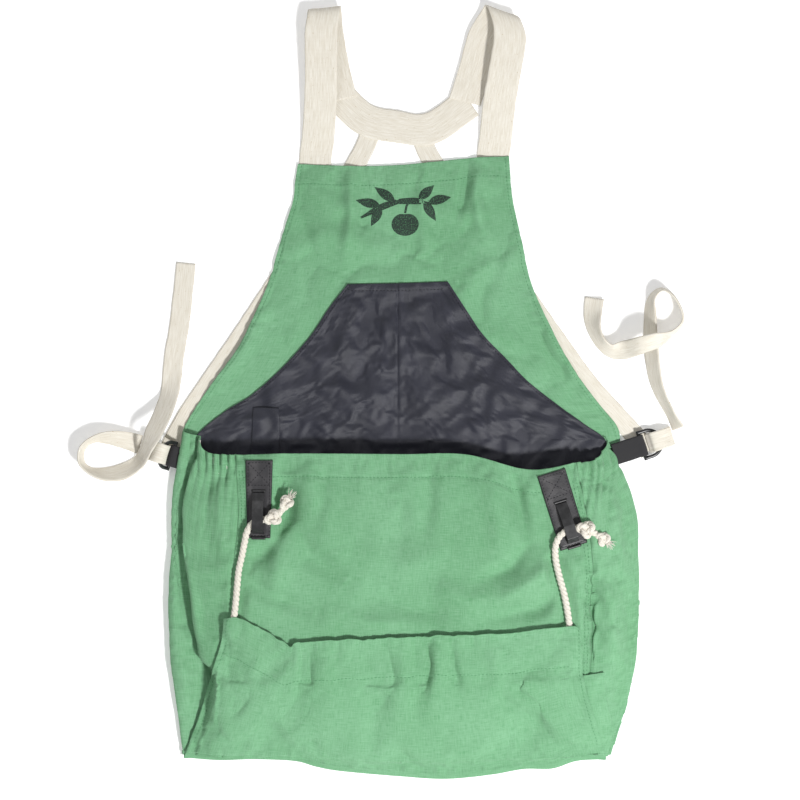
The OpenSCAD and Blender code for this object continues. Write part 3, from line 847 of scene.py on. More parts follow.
def press_under_cord(grid, route):
    """Presses the cloth down along the taut stretch of a cord."""
    gap = distance_to(grid[..., 0], grid[..., 1], [p[:2] for p in route[:5]])[0]
    room = route[0][2] - CORD_D / 2 - 0.2
    press = (1 - smooth_step(gap, 4, 18)) * (1 - smooth_step(grid[..., 1], 50, 64))
    grid[..., 2] -= np.maximum(grid[..., 2] - room, 0) * press


def make_pouch():
    """The simulated, gathered shell. Returns its outer grid and the columns of its two seams."""
    coarse = finer_columns(pouch_grid(), 121)
    seams = seam_columns(coarse)
    hold = pouch_hold(coarse, seams)
    soft = settle(coarse, hold, growth=0.012, cap_mm=6, bend=5, frames=18, pressure=0.6)
    fine = resample(soft, POUCH_ROWS, POUCH_COLS)
    x, y = fine[..., 0], fine[..., 1]
    top = fine[-1, :, 1][None, :] * np.ones((fine.shape[0], 1))
    wave = gathers(x, y, top, -218, 30, 9, 4.6, 40) + gathers(x, y, top, 226, 32, 10, 4.8, 54)
    hem = np.exp(-((top - y - CASING) / 1.6) ** 2)
    pucker = 0.5 * np.exp(-((top - y - CASING) / 9) ** 2) * value_noise(x / 5, y / 14, 8)
    crumple = 0.75 * rough(x / 28, y / 28, 21, 2) + 2.0 * rough(x / 70, y / 70, 23, 2)
    crumple += 2.0 * folds(x, y, FRONT_FOLDS) + folds(x, y, SIDE_FOLDS) * smooth_step(fine[..., 2], 8, 18)
    fine += normals_of(fine) * (wave - 0.7 * hem + pucker + crumple)[..., None]
    seam_at = [int(round(c * (POUCH_COLS - 1) / (coarse.shape[1] - 1))) for c in seams]
    column_mm = 1.4         # about the width of one column
    for column in seam_at:
        from_seam = (np.arange(POUCH_COLS) - column)[None, :] * column_mm
        near = np.exp(-(from_seam / 2.4) ** 2)
        ridge = np.exp(-((from_seam + 4.5) / 3) ** 2)
        uneven = 0.8 + 0.5 * value_noise(y / 7, 0 * y, 4)
        fine[..., 2] += (-0.9 * near * uneven + 0.5 * ridge) * np.ones_like(y)
    for side in SIDES:
        flatten_under_patch(fine, side)
        press_under_cord(fine, CORD_ROUTES[side])
    fine[..., 2] = np.maximum(fine[..., 2], 2.4)
    return fine, seam_at


def hang(piece, node, body=BODY):
    """Hides the CAD node that the piece stands for, and lets the piece move with body."""
    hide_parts(node)
    if body is not None:
        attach(piece, body)
    return piece


def cloth(name, grid, thickness, node, material="green_canvas", body=BODY):
    """A closed sheet that stands for a CAD node."""
    return hang(sheet_mesh(name, grid, thickness, material), node, body)


pouch, seam_at = make_pouch()
front = cloth("pouch_front_panel_cloth", pouch[:, seam_at[0]:seam_at[1] + 1], CLOTH_T, "pouch_front_panel")
gusset_left = cloth("left_gusset_cloth", pouch[:, :seam_at[0] + 1], CLOTH_T, "left_gusset")
gusset_right = cloth("right_gusset_cloth", pouch[:, seam_at[1]:], CLOTH_T, "right_gusset")
shell_tree = bvh_of(front, gusset_left, gusset_right)


# The inside of the pouch, and the elastic in its mouth at both sides
def inner_copy(grid, gap):
    """The shell again, gap further in, without its top rows and its feet."""
    part = resample(grid[10:232, 72:410], 90, 200)
    inner = part - normals_of(part) * gap
    inner[..., 2] = np.maximum(inner[..., 2], 5.2)
    return inner


cloth("lining_front_cloth", inner_copy(pouch, 3.4), 0.7, "lining_front", "dark_lining")
for side, columns in (("left", slice(20, seam_at[0] - 6)), ("right", slice(seam_at[1] + 6, 460))):
    casing = pouch[224:238, columns]
    band = resample(casing - normals_of(casing) * 1.25, 14, 50)
    cloth(side + "_elastic_band", band, 0.5, side + "_elastic", "elastic")

# ------------------------------------------------------------------ bib, back and lining
BIB_RIGHT = [(258, 176), (255, 200), (233, 228), (207, 263), (182, 306), (155, 366), (143, 416),
             (134, 456), (130, 484), (127.5, 518)]
BIB_LEFT = [(-256, 176), (-253, 200), (-225, 245), (-191, 292), (-170, 333), (-151, 379), (-139, 422),
            (-126, 464), (-123, 486), (-119.5, 509)]
BIB_TOP = [(-119.5, 509), (-84, 507.5), (-42, 506.5), (0, 508), (44, 512), (88, 516.5), (127.5, 518)]
LINING_RIGHT = [(234, -168), (238, 60), (242, 176), (240, 187), (216, 204), (184, 227), (150, 254),
                (125, 280), (98, 308), (80, 334), (56, 371)]
LINING_LEFT = [(-234, -168), (-238, 60), (-240, 176), (-235, 194), (-205, 219), (-173, 239), (-140, 268),
               (-106, 306), (-83, 340), (-61.5, 368)]


def between_lines(left, right, top, rows, cols):
    """A flat grid between two outlines, with its top row along top."""
    a, b = spline([(*p, 0) for p in left], rows), spline([(*p, 0) for p in right], rows)
    t = np.linspace(0, 1, cols)
    grid = a[:, None] * (1 - t)[None, :, None] + b[:, None] * t[None, :, None]
    if top is not None:
        edge = spline([(*p, 0) for p in top], cols)
        share = np.linspace(0, 1, rows)[:, None, None] ** 3
        grid += (edge - grid[-1])[None] * share
    return grid


BIB_FOLDS = [
    ([(-60, 506), (-56, 450), (-64, 400)], 4.5, 8), ([(-44, 506), (-40, 462), (-46, 430)], -3.0, 5),
    ([(30, 508), (26, 456), (34, 410)], 3.2, 9), ([(92, 514), (88, 470), (98, 420)], 4.4, 8),
    ([(78, 514), (74, 476), (66, 440)], -3.0, 6), ([(-112, 484), (-76, 458), (-30, 462)], 2.4, 11),
    ([(-140, 400), (-90, 424), (-10, 410)], 3.0, 14), ([(0, 474), (56, 452), (112, 446)], 2.4, 12),
    ([(134, 410), (92, 384), (64, 344)], 3.4, 13), ([(-216, 250), (-184, 292), (-150, 356)], 3.0, 9),
    ([(225, 232), (186, 288), (158, 352)], 3.4, 9), ([(-120, 460), (-104, 410), (-112, 350)], -2.4, 9),
    ([(112, 470), (120, 420), (108, 370)], -2.6, 9), ([(200, 250), (160, 300), (120, 340)], -3.0, 8),
]


def relief(grid, seed, height, low):
    """Adds broad and small crumples above the floor of the cloth."""
    x, y = grid[..., 0], grid[..., 1]
    z = height * (1 + rough(x / 60, y / 60, seed, 3)) + 0.25 * rough(x / 14, y / 14, seed + 5)
    out = grid.copy()
    out[..., 2] = low + np.maximum(z, 0)
    return out


def edge_distance(grid):
    """How far each point is from the left edge, the right edge and the top edge."""
    flat = grid[..., :2]
    left = np.linalg.norm(flat - flat[:, :1], axis=2)
    right = np.linalg.norm(flat - flat[:, -1:], axis=2)
    top = np.linalg.norm(flat - flat[-1:], axis=2)
    return left, right, top


def hemmed(grid, depth_side, depth_top, thick=0.7):
    """Double cloth at the hems, with the dip and pucker of their stitching."""
    left, right, top = edge_distance(grid)
    side = np.minimum(left, right)
    lift = thick * np.maximum(1 - smooth_step(side, depth_side - 1, depth_side + 1.5),
                              1 - smooth_step(top, depth_top - 1, depth_top + 1.5))
    line = np.exp(-((side - depth_side + 2) / 1.2) ** 2) + np.exp(-((top - depth_top + 2) / 1.2) ** 2)
    near = np.exp(-((np.minimum(side, np.abs(top - depth_top + 2)) / 8)) ** 2)
    x, y = grid[..., 0], grid[..., 1]
    pucker = 0.3 * near * value_noise(x / 6 + y / 6, y / 9 - x / 9, 31)
    out = grid.copy()
    out[..., 2] += lift - 0.55 * line + pucker
    return out


def make_bib():
    flat = between_lines(BIB_LEFT, BIB_RIGHT, BIB_TOP, 61, 71)
    start = relief(flat, 41, 1.5, BIB_BASE_Z - 1.6)
    hold = np.full(start.shape[:2], 0.06)
    hold[:6] = 1
    hold[-1] = 0.9
    hold[:, 0] = hold[:, -1] = 0.5
    soft = settle(start, hold, growth=0.01, cap_mm=4, bend=4, seed=7)
    soft[..., 2] = np.abs(soft[..., 2] - BIB_BASE_Z) + BIB_BASE_Z - 1.4
    fine = resample(soft, 281, 321)
    x, y = fine[..., 0], fine[..., 1]
    fine[..., 2] += 1.8 * folds(x, y, BIB_FOLDS) * smooth_step(y, 176, 215)
    fine[..., 2] += 0.7 * rough(x / 28, y / 28, 43, 2)
    fine = hemmed(fine, 7, 25)
    fine[..., 2] = np.maximum(fine[..., 2], BIB_BASE_Z - 2 + CLOTH_T)
    return fine


bib = make_bib()
bib_cloth = cloth("bib_cloth", bib, CLOTH_T, "bib_panel")
bib_tree = bvh_of(bib_cloth)

BACK_LEFT = [(-244, -184), (-252, -120), (-258, 0), (-254, 120), (-246, 186)]
BACK_RIGHT = [(241, -184), (256, -120), (264, 0), (262, 120), (246, 186)]
back_flat = resample(between_lines(BACK_LEFT, BACK_RIGHT, None, 60, 60), 120, 160)
back_flat[..., 2] = 1.6 + 0.2 * rough(back_flat[..., 0] / 50, back_flat[..., 1] / 50, 61)
back_cloth = cloth("pouch_back_cloth", back_flat, CLOTH_T, "pouch_back_panel")

LINING_FOLDS = [
    ([(-52, 362), (-62, 310), (-92, 250)], 4.0, 9), ([(48, 362), (64, 310), (104, 256)], 4.0, 9),
    ([(-34, 356), (-44, 300), (-60, 240)], -3.0, 8), ([(30, 350), (44, 296), (56, 240)], -3.0, 8),
    ([(-168, 232), (-100, 252), (-20, 236)], 4.4, 9), ([(168, 224), (96, 250), (20, 230)], 4.4, 9),
    ([(-118, 282), (-60, 290), (-12, 268)], 3.2, 8), ([(116, 280), (56, 292), (12, 266)], 3.2, 8),
    ([(-20, 352), (-16, 300), (-26, 244)], 2.6, 6), ([(22, 345), (16, 300), (30, 240)], 2.4, 6),
    ([(-214, 206), (-130, 214), (-50, 196)], 4.4, 9), ([(214, 198), (126, 210), (44, 194)], 4.4, 9),
    ([(-130, 240), (-118, 216), (-128, 190)], -3.4, 7), ([(90, 230), (84, 206), (100, 184)], 3.4, 8),
    ([(150, 214), (140, 196), (148, 180)], -3.0, 7), ([(-96, 214), (-84, 196), (-92, 178)], 3.0, 8),
]


def make_lining():
    flat = between_lines(LINING_LEFT, LINING_RIGHT, [(-61.5, 368), (0, 369), (56, 371)], 91, 71)
    x, y = flat[..., 0], flat[..., 1]
    under = height_over(bib_tree, x, y, 2.6)
    floor = np.maximum(blur(under, 3), under) + 1.4
    start = relief(flat, 71, 0.8, floor)
    hold = np.full(start.shape[:2], 0.25)
    hold[-1] = 1
    hold[:, 0] = hold[:, -1] = 0.9
    hold[y < 120] = 1
    soft = settle(start, hold, growth=0.01, cap_mm=4, bend=3, seed=9)
    fine = resample(soft, 361, 321)
    x, y = fine[..., 0], fine[..., 1]
    floor = resample(floor[..., None], 361, 321)[..., 0]
    inside_hem = smooth_step(y, 100, 170) * smooth_step(np.minimum(*edge_distance(fine)[:2]), 6, 16)
    fine[..., 2] += 0.75 * (folds(x, y, LINING_FOLDS) + 0.4 * rough(x / 36, y / 36, 77, 2)) * inside_hem
    fine = hemmed(fine, 6, 11, 0.5)
    left, right, top = edge_distance(fine)
    side = np.minimum(np.minimum(left, right), top)
    fine[..., 2] += (floor + 0.5 - fine[..., 2]) * np.exp(-(side / 3.0) ** 2)
    crease = np.exp(-((x + 3) / 1.3) ** 2) * smooth_step(y, 120, 160)
    fine[..., 2] += -0.9 * crease + 0.6 * np.exp(-((x - 1.5) / 3) ** 2) * smooth_step(y, 120, 160)
    fine[..., 2] = np.maximum(fine[..., 2], floor)
    return fine


lining = make_lining()
lining_cloth = cloth("lining_cloth", lining, LINING_T, "lining_back", "dark_lining")
lining_tree = bvh_of(lining_cloth)

# Inner pocket, sewn to the lining at its left
POCKET = [(-176, 136), (-141, 136), (-141, 223), (-172, 224)]
POCKET_ROWS, POCKET_COLS = 50, 30


def four_corner_grid(corners, rows, cols):
    """A grid over four corners: bottom left, bottom right, top right, top left."""
    a, b, c, d = [np.array(p, float) for p in corners]
    s, t = np.linspace(0, 1, cols)[None, :, None], np.linspace(0, 1, rows)[:, None, None]
    return (a * (1 - s) + b * s) * (1 - t) + (d * (1 - s) + c * s) * t


pocket_flat = four_corner_grid(POCKET, POCKET_ROWS, POCKET_COLS)
px, py = pocket_flat[..., 0], pocket_flat[..., 1]
pocket_z = blur(height_over(lining_tree, px, py, 6), 3) + 1.0
swell = np.sin(math.pi * np.linspace(0, 1, POCKET_COLS))[None, :]
pocket_z += 1.6 * swell * np.linspace(0.3, 1, POCKET_ROWS)[:, None]
cloth("slip_pocket_cloth", np.dstack([px, py, pocket_z]), LINING_T, "slip_pocket", "dark_lining")

# ------------------------------------------------------------------ drop-out chute
FLAP_TOP = [(-203, -20), (-188, -18.5), (-168, -27), (-129, -48), (-113, -46.5), (0, -40.5), (107, -37),
            (191, -29), (204, -30), (208.5, -36)]
FLAP_BOTTOM = [(-253, -186), (-212, -189), (-172, -188), (-124, -190), (-97, -197), (-68, -202), (0, -208),
               (54, -211), (107, -206), (145, -199.5), (178, -199), (207, -190), (241, -188)]
FLAP_LEFT = [(-253, -186), (-236, -141), (-224, -104), (-216, -78), (-206.5, -46), (-203, -20)]
FLAP_RIGHT = [(241, -188), (226, -139), (215, -104), (210, -75), (208.5, -36)]
FLAP_FOLDS = [
    ([(-236, -176), (-170, -130), (-118, -66)], 4.6, 11),
    ([(-200, -180), (-140, -150), (-96, -110)], -4.0, 10),
    ([(-110, -50), (-108, -90), (-118, -130)], -4.4, 8), ([(-90, -60), (-80, -110), (-92, -160)], 3.4, 11),
    ([(-20, -46), (-14, -84), (-26, -124)], -3.0, 9), ([(0, -44), (6, -90), (-4, -150)], 3.2, 11),
    ([(22, -44), (30, -70), (26, -100)], -3.4, 6), ([(40, -44), (46, -80), (36, -130)], 3.2, 8),
    ([(60, -48), (60, -76), (70, -110)], -3.0, 7), ([(222, -176), (170, -130), (128, -70)], 4.6, 11),
    ([(200, -186), (150, -150), (104, -100)], -4.4, 9), ([(110, -50), (112, -90), (96, -120)], 3.0, 9),
    ([(190, -80), (196, -120), (210, -150)], -4.0, 9), ([(-196, -70), (-180, -110), (-196, -150)], -3.8, 9),
    ([(-60, -190), (-20, -170), (30, -176)], 2.8, 10), ([(60, -186), (100, -168), (150, -180)], 2.8, 9),
]


# The joint that turns the chute down
FOLD_AXIS_Y, FOLD_AXIS_Z = -198, 12
FOLD_TURN = math.radians(165)
CHUTE_ROWS, CHUTE_COLS = 201, 401
CHUTE_FOOT = 26         # rows of the fine grid that lie under the pouch


def opened_room(y):
    """The greatest height at y that still clears the floor once the chute is turned right down."""
    drop = FOLD_AXIS_Z - 1 + (y - FOLD_AXIS_Y) * math.sin(FOLD_TURN)
    return FOLD_AXIS_Z - drop / math.cos(FOLD_TURN)


def rolled_up(tree, flat, gap):
    """Cloth before it settles: it lies under the pouch, rolls up and rests gap above tree."""
    foot_z, roll_height, tucked_in = 8, 34, 26
    x, y = flat[..., 0], flat[..., 1]
    rest = blur(height_over(tree, x, y, 10), 4)
    rise = np.clip((y - y[0]) / roll_height, 0, 1)
    z = foot_z + (rest + gap - foot_z) * np.sin(0.5 * math.pi * rise) ** 0.8
    outer = np.dstack([x, y, z])
    under = []
    for share in (1.0, 0.75, 0.5, 0.25):
        strip = outer[0].copy()
        strip[:, 1] += tucked_in * share - 3
        strip[:, 2] = 2.9 + 5.0 * (1 - share) ** 2
        under.append(strip)
    return np.concatenate([np.array(under), outer])


def chute_cloth(tree, flat, gap, lines, seed, hem, curl=0):
    """Cloth that folds up from under the pouch, gap above tree, its top edge raised by curl."""
    start = rolled_up(tree, flat, gap)
    hold = np.full(start.shape[:2], 0.05)
    hold[:6] = 1
    hold[-1] = 0.9
    hold[:, 0] = hold[:, -1] = 0.7
    soft = settle(start, hold, growth=0.012, cap_mm=5, bend=4, seed=seed)
    fine = resample(soft, CHUTE_ROWS, CHUTE_COLS)
    x, y = fine[..., 0], fine[..., 1]
    below = height_over(tree, x[::2, ::2], y[::2, ::2], 2)
    floor = resample(np.maximum(below, blur(below, 2))[..., None], CHUTE_ROWS, CHUTE_COLS)[..., 0]
    above = np.arange(CHUTE_ROWS)[:, None] > CHUTE_FOOT
    out = normals_of(fine)
    fine += out * (1.8 * folds(x, y, lines) * smooth_step(fine[..., 2], 20, 38))[..., None]
    fine[..., 2] = np.where(above, np.maximum(fine[..., 2], floor + gap - 0.8), fine[..., 2])
    fine[..., 2] = np.maximum(fine[..., 2], 2.2)
    out = normals_of(fine)
    crumple = (0.9 * rough(x / 26, y / 26, seed + 2, 2) + 0.2 * value_noise(x / 6, y / 6, seed)) * above
    top = fine[-1][None, :, 1] - y
    side = np.minimum(np.linalg.norm(fine - fine[:, :1], axis=2), np.linalg.norm(fine - fine[:, -1:], axis=2))
    line = np.exp(-((top - hem) / 1.3) ** 2) + 0.6 * np.exp(-((side - 6) / 1.3) ** 2)
    lift = 0.7 * (1 - smooth_step(np.minimum(top - hem + 7, side), 6, 9))
    lift += curl * np.exp(-np.clip(top, 0, None) / 8) * smooth_step(side, 2, 24)
    fine += out * (crumple + lift - 0.7 * line)[..., None]
    soft_by = 6
    over = np.maximum(fine[..., 2] - opened_room(fine[..., 1]) + soft_by, 0)
    fine[..., 2] -= over - soft_by * (1 - np.exp(-over / soft_by))
    fine[..., 2] = np.where(above, np.maximum(fine[..., 2], floor + 1.5), fine[..., 2])
    return fine


def chute_corner_lift(grid, side):
    """Room under the flap's corner for the cord that is sewn there."""
    x, y, z = CORD_ROUTES[side][0]
    near = np.exp(-(((grid[..., 0] - x) / 11) ** 2 + ((grid[..., 1] - y - 2) / 16) ** 2) ** 2)
    need = z + CORD_D / 2 + 1.6
    grid[..., 2] += np.maximum(need - grid[..., 2], 0) * near


# The chute bends where it rolls up off the floor, in rolled_up. Its two hems:
FLAP_HEM, INNER_HEM = 47, 12    # from the top edge to the line of stitching
INNER_TOP = [(-214, -92), (-120, -95), (0, -98), (120, -94), (210, -86), (236, -83)]
INNER_BOTTOM = [(-250, -180), (-124, -184), (0, -196), (107, -196), (200, -184), (243, -184)]
INNER_LEFT = [(-250, -180), (-232, -140), (-214, -92)]
INNER_RIGHT = [(243, -184), (247, -150), (240, -116), (236, -83)]


def flat_between(bottom, top, left, right, rows, cols):
    """A grid inside four outlines."""
    s = np.linspace(0, 1, cols)[None, :, None]
    t = np.linspace(0, 1, rows)[:, None, None]
    b, u = [spline([(*p, 0) for p in line], cols) for line in (bottom, top)]
    a, c = [spline([(*p, 0) for p in line], rows) for line in (left, right)]
    corners = (b[0] * (1 - s) + b[-1] * s) * (1 - t) + (u[0] * (1 - s) + u[-1] * s) * t
    return b[None] * (1 - t) + u[None] * t + a[:, None] * (1 - s) + c[:, None] * s - corners


inner_flat = flat_between(INNER_BOTTOM, INNER_TOP, INNER_LEFT, INNER_RIGHT, 30, 91)
inner_wall = chute_cloth(shell_tree, inner_flat, 1.8, [], 87, INNER_HEM)
inner_wall_cloth = cloth("chute_inner_wall_cloth", inner_wall, 0.9, "chute_inner_wall", body=None)
covered_tree = bvh_of(front, gusset_left, gusset_right, inner_wall_cloth)
flap_flat = flat_between(FLAP_BOTTOM, FLAP_TOP, FLAP_LEFT, FLAP_RIGHT, 40, 91)
flap = chute_cloth(covered_tree, flap_flat, 3.8, FLAP_FOLDS, 91, FLAP_HEM, curl=3.6)
for side in SIDES:
    chute_corner_lift(flap, side)
flap_cloth = cloth("chute_flap_cloth", flap, FLAP_T, "chute_flap", body=None)
for wall in (inner_wall_cloth, flap_cloth):
    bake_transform(wall)
flap_tree = bvh_of(flap_cloth)

# ------------------------------------------------------------------ patches, clips and rings
def make_patch(side):
    """A leather patch with a turned edge and a groove inside it, set on the pouch's front."""
    foot, head = {"left": (13.5, 16), "right": (16.5, 17)}[side]    # half widths
    rows, cols = 91, 37
    along = np.linspace(-PATCH_HALF, PATCH_HALF, rows)[:, None] * np.ones((1, cols))
    half = foot + (head - foot) * (along + PATCH_HALF) / (2 * PATCH_HALF)
    across = np.linspace(-1, 1, cols)[None, :] * half
    edge = np.minimum(half - np.abs(across), PATCH_HALF - np.abs(along))
    out = -1.5 * np.exp(-(edge / 1.0) ** 2) - 0.35 * np.exp(-((edge - 3) / 0.8) ** 2)
    out += 0.18 * rough(across / 12, along / 12, 3 + foot)
    grid = on_patch(side, across, along, out)
    return cloth(side + "_patch_leather", grid, 1.6, side + "_patch", "black_leather")


patches = {side: make_patch(side) for side in SIDES}


def dress(node, material, bevel_mm=0.0):
    """A hard CAD node that shows as it is, with its finish and softened edges."""
    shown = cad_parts[node]
    shown.data.materials.clear()
    shown.data.materials.append(MATERIALS[material])
    if bevel_mm:
        bevel = shown.modifiers.new("bevel", "BEVEL")
        bevel.width = bevel_mm * MM
        bevel.segments = 3
        bevel.limit_method = "ANGLE"
        bevel.angle_limit = math.radians(35)


for side in SIDES:
    dress(side + "_clip_base", "clip_plastic", 0.3)
    dress(side + "_clip_tongue", "clip_plastic", 0.4)
    dress(side + "_d_ring", "ring_plastic")


def clip_bar(side, along, out, width):
    """A rounded bar across a patch."""
    points = on_patch(side, np.linspace(-8, 8, 12), along, out)
    return tube_mesh(side + "_clip_bar", points, width / 2, 12, "clip_plastic")


for side in SIDES:
    bars = [clip_bar(side, -PATCH_HALF, 0.8, 3.2), clip_bar(side, 9.5, 0.5, 2.6)]
    clip_bars = join(side + "_clip_bars", bars)
    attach(clip_bars, BODY)


# ------------------------------------------------------------------ cords and their knots
KNOT_LIFT = 2.2         # of the knots' middles over the cord's route


def rope(name, path, diameter=CORD_D, pitch=17.0):
    """Three strands laid into a rope."""
    return tube_mesh(name, path, diameter / 2, 30, "cotton_cord", lobes=3, depth=0.34, pitch=pitch)


def knot_path(centre, way, size):
    """An overhand knot: a trefoil drawn out along the cord."""
    way = unit(way)
    side = unit(np.cross((0, 0, 1), way))
    up = np.cross(way, side)
    t = np.linspace(0, 2 * math.pi, 140)
    a = np.sin(t) + 2 * np.sin(2 * t)
    b = np.cos(t) - 2 * np.cos(2 * t)
    c = -np.sin(3 * t)
    return (np.array(centre) + size * (0.34 * b[:, None] * way + 0.30 * a[:, None] * side
                                       + 0.42 * c[:, None] * up))


def frayed_end(name, place, way):
    """Loose yarns that spread from the cut end."""
    way = unit(way)
    side = unit(np.cross((0, 0, 1), way))
    tufts = []
    for k in range(26):
        angle, size = k * 2.4, 0.7 * math.sqrt(k)
        spread = size * (math.cos(angle) * side + math.sin(angle) * np.array((0, 0, 1)))
        reach = 7 + 3.5 * math.sin(k * 1.9)
        steps = np.linspace(0, 1, 7)[:, None]
        bend = 1.2 * math.sin(k * 3.1) * steps ** 2 * side
        path = np.array(place) + spread * (0.7 + 1.1 * steps) + way * reach * steps + bend
        tufts.append(tube_mesh("yarn", path, 0.42 * (1.15 - 0.8 * steps[:, 0]), 5, "cotton_cord"))
    return join(name, tufts)


for side, route in CORD_ROUTES.items():
    line = spline(route, 260)
    cord_piece = rope(side + "_cord_rope", line)
    hang(cord_piece, side + "_cord", "chute")
    points = np.array(route)
    stop = (points[9] + points[10]) / 2 + (0, 0, KNOT_LIFT)
    stop_way = points[10] - points[9]
    end = points[-1] + (0, 0, KNOT_LIFT)
    end_way = points[-1] - points[-2]
    stop_size = {"left": 7.6, "right": 8.6}[side]
    knots = [
        rope("stopper", knot_path(stop, stop_way, stop_size), 7.2, 15),
        rope("end", knot_path(end, end_way, 6.6), 6.6, 15),
        frayed_end("frayed", end + unit(end_way) * 7, end_way),
    ]
    knot_piece = join(side + "_cord_knots_rope", knots)
    hang(knot_piece, side + "_cord_knots", "chute")


# ------------------------------------------------------------------ webbing and tape
def ribbon(name, points, widths, width, thickness, material, rows=None, cols=13, seed=1):
    """A woven band along points, with its width along the unit vectors in widths."""
    points = np.array(points, float)
    rows = rows or int(length_of(points) / 2.2)
    both = spline(np.hstack([points, np.array(widths, float)]), rows)
    middle, across = both[:, :3], both[:, 3:]
    across = unit(across)
    run = np.linspace(0, length_of(middle), rows)
    share = np.linspace(-1, 1, cols)
    half = width / 2 + 0.25 * value_noise(run / 9, 0 * run, seed)
    grid = middle[:, None] + across[:, None] * (share[None, :, None] * half[:, None, None])
    out = np.cross(across, directions(middle))
    curl = 0.3 * rough(run[:, None] / 30 + 0 * share, share[None, :] * 1.2 + 0 * run[:, None], seed + 3)
    rim = -0.4 * np.abs(share[None, :]) ** 12
    grid += out[:, None] * (curl + rim + thickness / 2)[..., None]
    clear = 0.15            # over the floor
    lift = np.maximum(clear + thickness - grid[..., 2], 0)
    grid[..., 2] += lift * (np.abs(out[:, 2]) > 0.5)[:, None]
    grid[..., 2] = np.maximum(grid[..., 2], clear)
    return sheet_mesh(name, grid, thickness, material)


def level_widths(turns):
    """Level width vectors, each turned by that many degrees from +X."""
    return [(math.cos(math.radians(t)), math.sin(math.radians(t)), 0) for t in turns]


def laid(route, width, thickness):
    """Points and widths of tape along (x, y, floor height, lean), where a lean of 90 is on edge."""
    r = np.array(route, float)
    lean = np.radians(r[:, 3])
    points = r[:, :3].copy()
    points[:, 2] += width / 2 * np.abs(np.sin(lean)) + thickness / 2 * np.cos(lean)
    way = directions(r[:, :2])
    flat = np.stack([way[:, 1], -way[:, 0], 0 * lean], axis=1)
    widths = np.cos(lean)[:, None] * flat + np.sin(lean)[:, None] * np.array((0, 0, 1))
    return points, widths


# Middle lines of the shoulder straps, and the turn of their widths at each point, in degrees
STRAPS = {
    "left": ([(-100, 488, 1), (-99, 518, 1), (-96, 540, 4), (-93, 580, 11), (-92, 620, 17), (-92, 660, 21),
              (-89, 682, 20), (-88, 690, 13), (-87, 683, 6.5), (-85, 660, 4.6), (-78, 620, 3.6),
              (-69, 584, 2.8)],
             [-2, -2, -2, -2, 0, 0, 3, 6, 8, 9, 10, 12]),
    "right": ([(108, 486, 1), (109, 518, 1), (112, 540, 4), (116, 580, 11), (122, 615, 17), (128, 655, 21),
               (123, 678, 20), (118, 687, 13), (112, 680, 6.5), (98, 656, 4.6), (88, 620, 3.6),
               (76, 582, 2.8)],
              [-6, -6, -7, -8, -9, -10, -16, -20, -22, -20, -16, -14]),
}
CROSS_STRAP = [(-74, 592, 0, 0), (-42, 562, 0, 0), (-4, 553, 0, 0), (36, 551, 0, 0), (82, 582, 0, 0)]
BACK_STRAPS = {
    "left": [(-34, 546, 0, 0), (-54, 506, 0, 0), (-120, 407, 0, 0), (-185, 309, 0, 0), (-226, 249, 0, 0),
             (-253, 208, 0, 0), (-274, 168, 0, 0)],
    "right": [(24, 542, 0, 0), (42, 506, 0, 0), (112, 405, 0, 0), (182, 305, 0, 0), (222, 250, 0, 0),
              (262, 206, 0, 0), (292, 172, 0, 0)],
}
TIES = {
    "left": [(-304, 180, 2, 12), (-320, 185, 2, 25), (-342, 188, 2, 50), (-360, 185, 0, 75),
             (-371, 175, 0, 80), (-372, 160, 0, 80), (-362, 150, 0, 75), (-344, 146, 0, 50),
             (-324, 149, 0, 35), (-306, 160, 0, 45), (-293, 178, 28, 45), (-285, 196, 28, 25),
             (-276, 218, 14, 20), (-269, 245, 0, 15), (-265, 284, 0, 0), (-259, 319, 0, 0),
             (-255, 354, 0, 0), (-251, 393, 0, 0)],
    "right": [(325, 199, 1, 60), (316, 216, 0, 70), (300, 250, 0, 60), (294, 290, 0, 50),
              (292, 330, 0, 60), (294, 352, 0, 75), (306, 362, 0, 80), (320, 354, 0, 80),
              (330, 336, 0, 80), (330, 322, 0, 80), (318, 310, 0, 75), (300, 302, 26, 45),
              (280, 296, 26, 30), (262, 291, 10, 20), (246, 290, 0, 50), (234, 300, 0, 60),
              (226, 318, 0, 50), (226, 338, 0, 20), (228, 352, 0, 10)],
}
# Place of each ring's bar, and the turn of its outward direction from +X, in degrees
RING_AT = {"left": (-267, 167, 162), "right": (283, 179, 18)}
# Paths seen from the side as (outward, height): the tape through each ring, and the tab round its bar
LOOPS = {
    "left": [(8, 2.6), (14, 5), (13, 10), (7, 16), (4, 24), (9, 32), (17, 33), (25, 26), (33, 12), (38, 4)],
    "right": [(8, 2.6), (11, 6), (14, 10.6), (20, 12), (28, 11), (33, 7), (38, 3)],
}
TAB = [(-34, 3.5), (-20, 3.6), (-8, 3.6), (0, 3.3), (3.4, 5.0), (4.0, 7), (3.4, 9.0), (0, 10.7), (-8, 9.6),
       (-20, 9.0), (-34, 8.8)]


def at_ring(side, outward, along, height):
    """A point in a ring's own frame: outward from the apron, along the bar, and height."""
    x, y, turn = RING_AT[side]
    c, s = math.cos(math.radians(turn)), math.sin(math.radians(turn))
    return (x + outward * c - along * s, y + outward * s + along * c, height)


def tape(name, node, route, seed):
    """Narrow tape that lies on the floor along a route."""
    points, widths = laid(route, TAPE_W, WEBBING_T)
    piece = ribbon(name, points, widths, TAPE_W, WEBBING_T, "cotton_tape", seed=seed)
    hang(piece, node)


for side in SIDES:
    points, turns = STRAPS[side]
    strap = ribbon(side + "_shoulder_webbing", points, level_widths(turns), WEBBING_W, WEBBING_T,
                   "cotton_webbing", cols=25, seed=3)
    hang(strap, side + "_shoulder_strap")

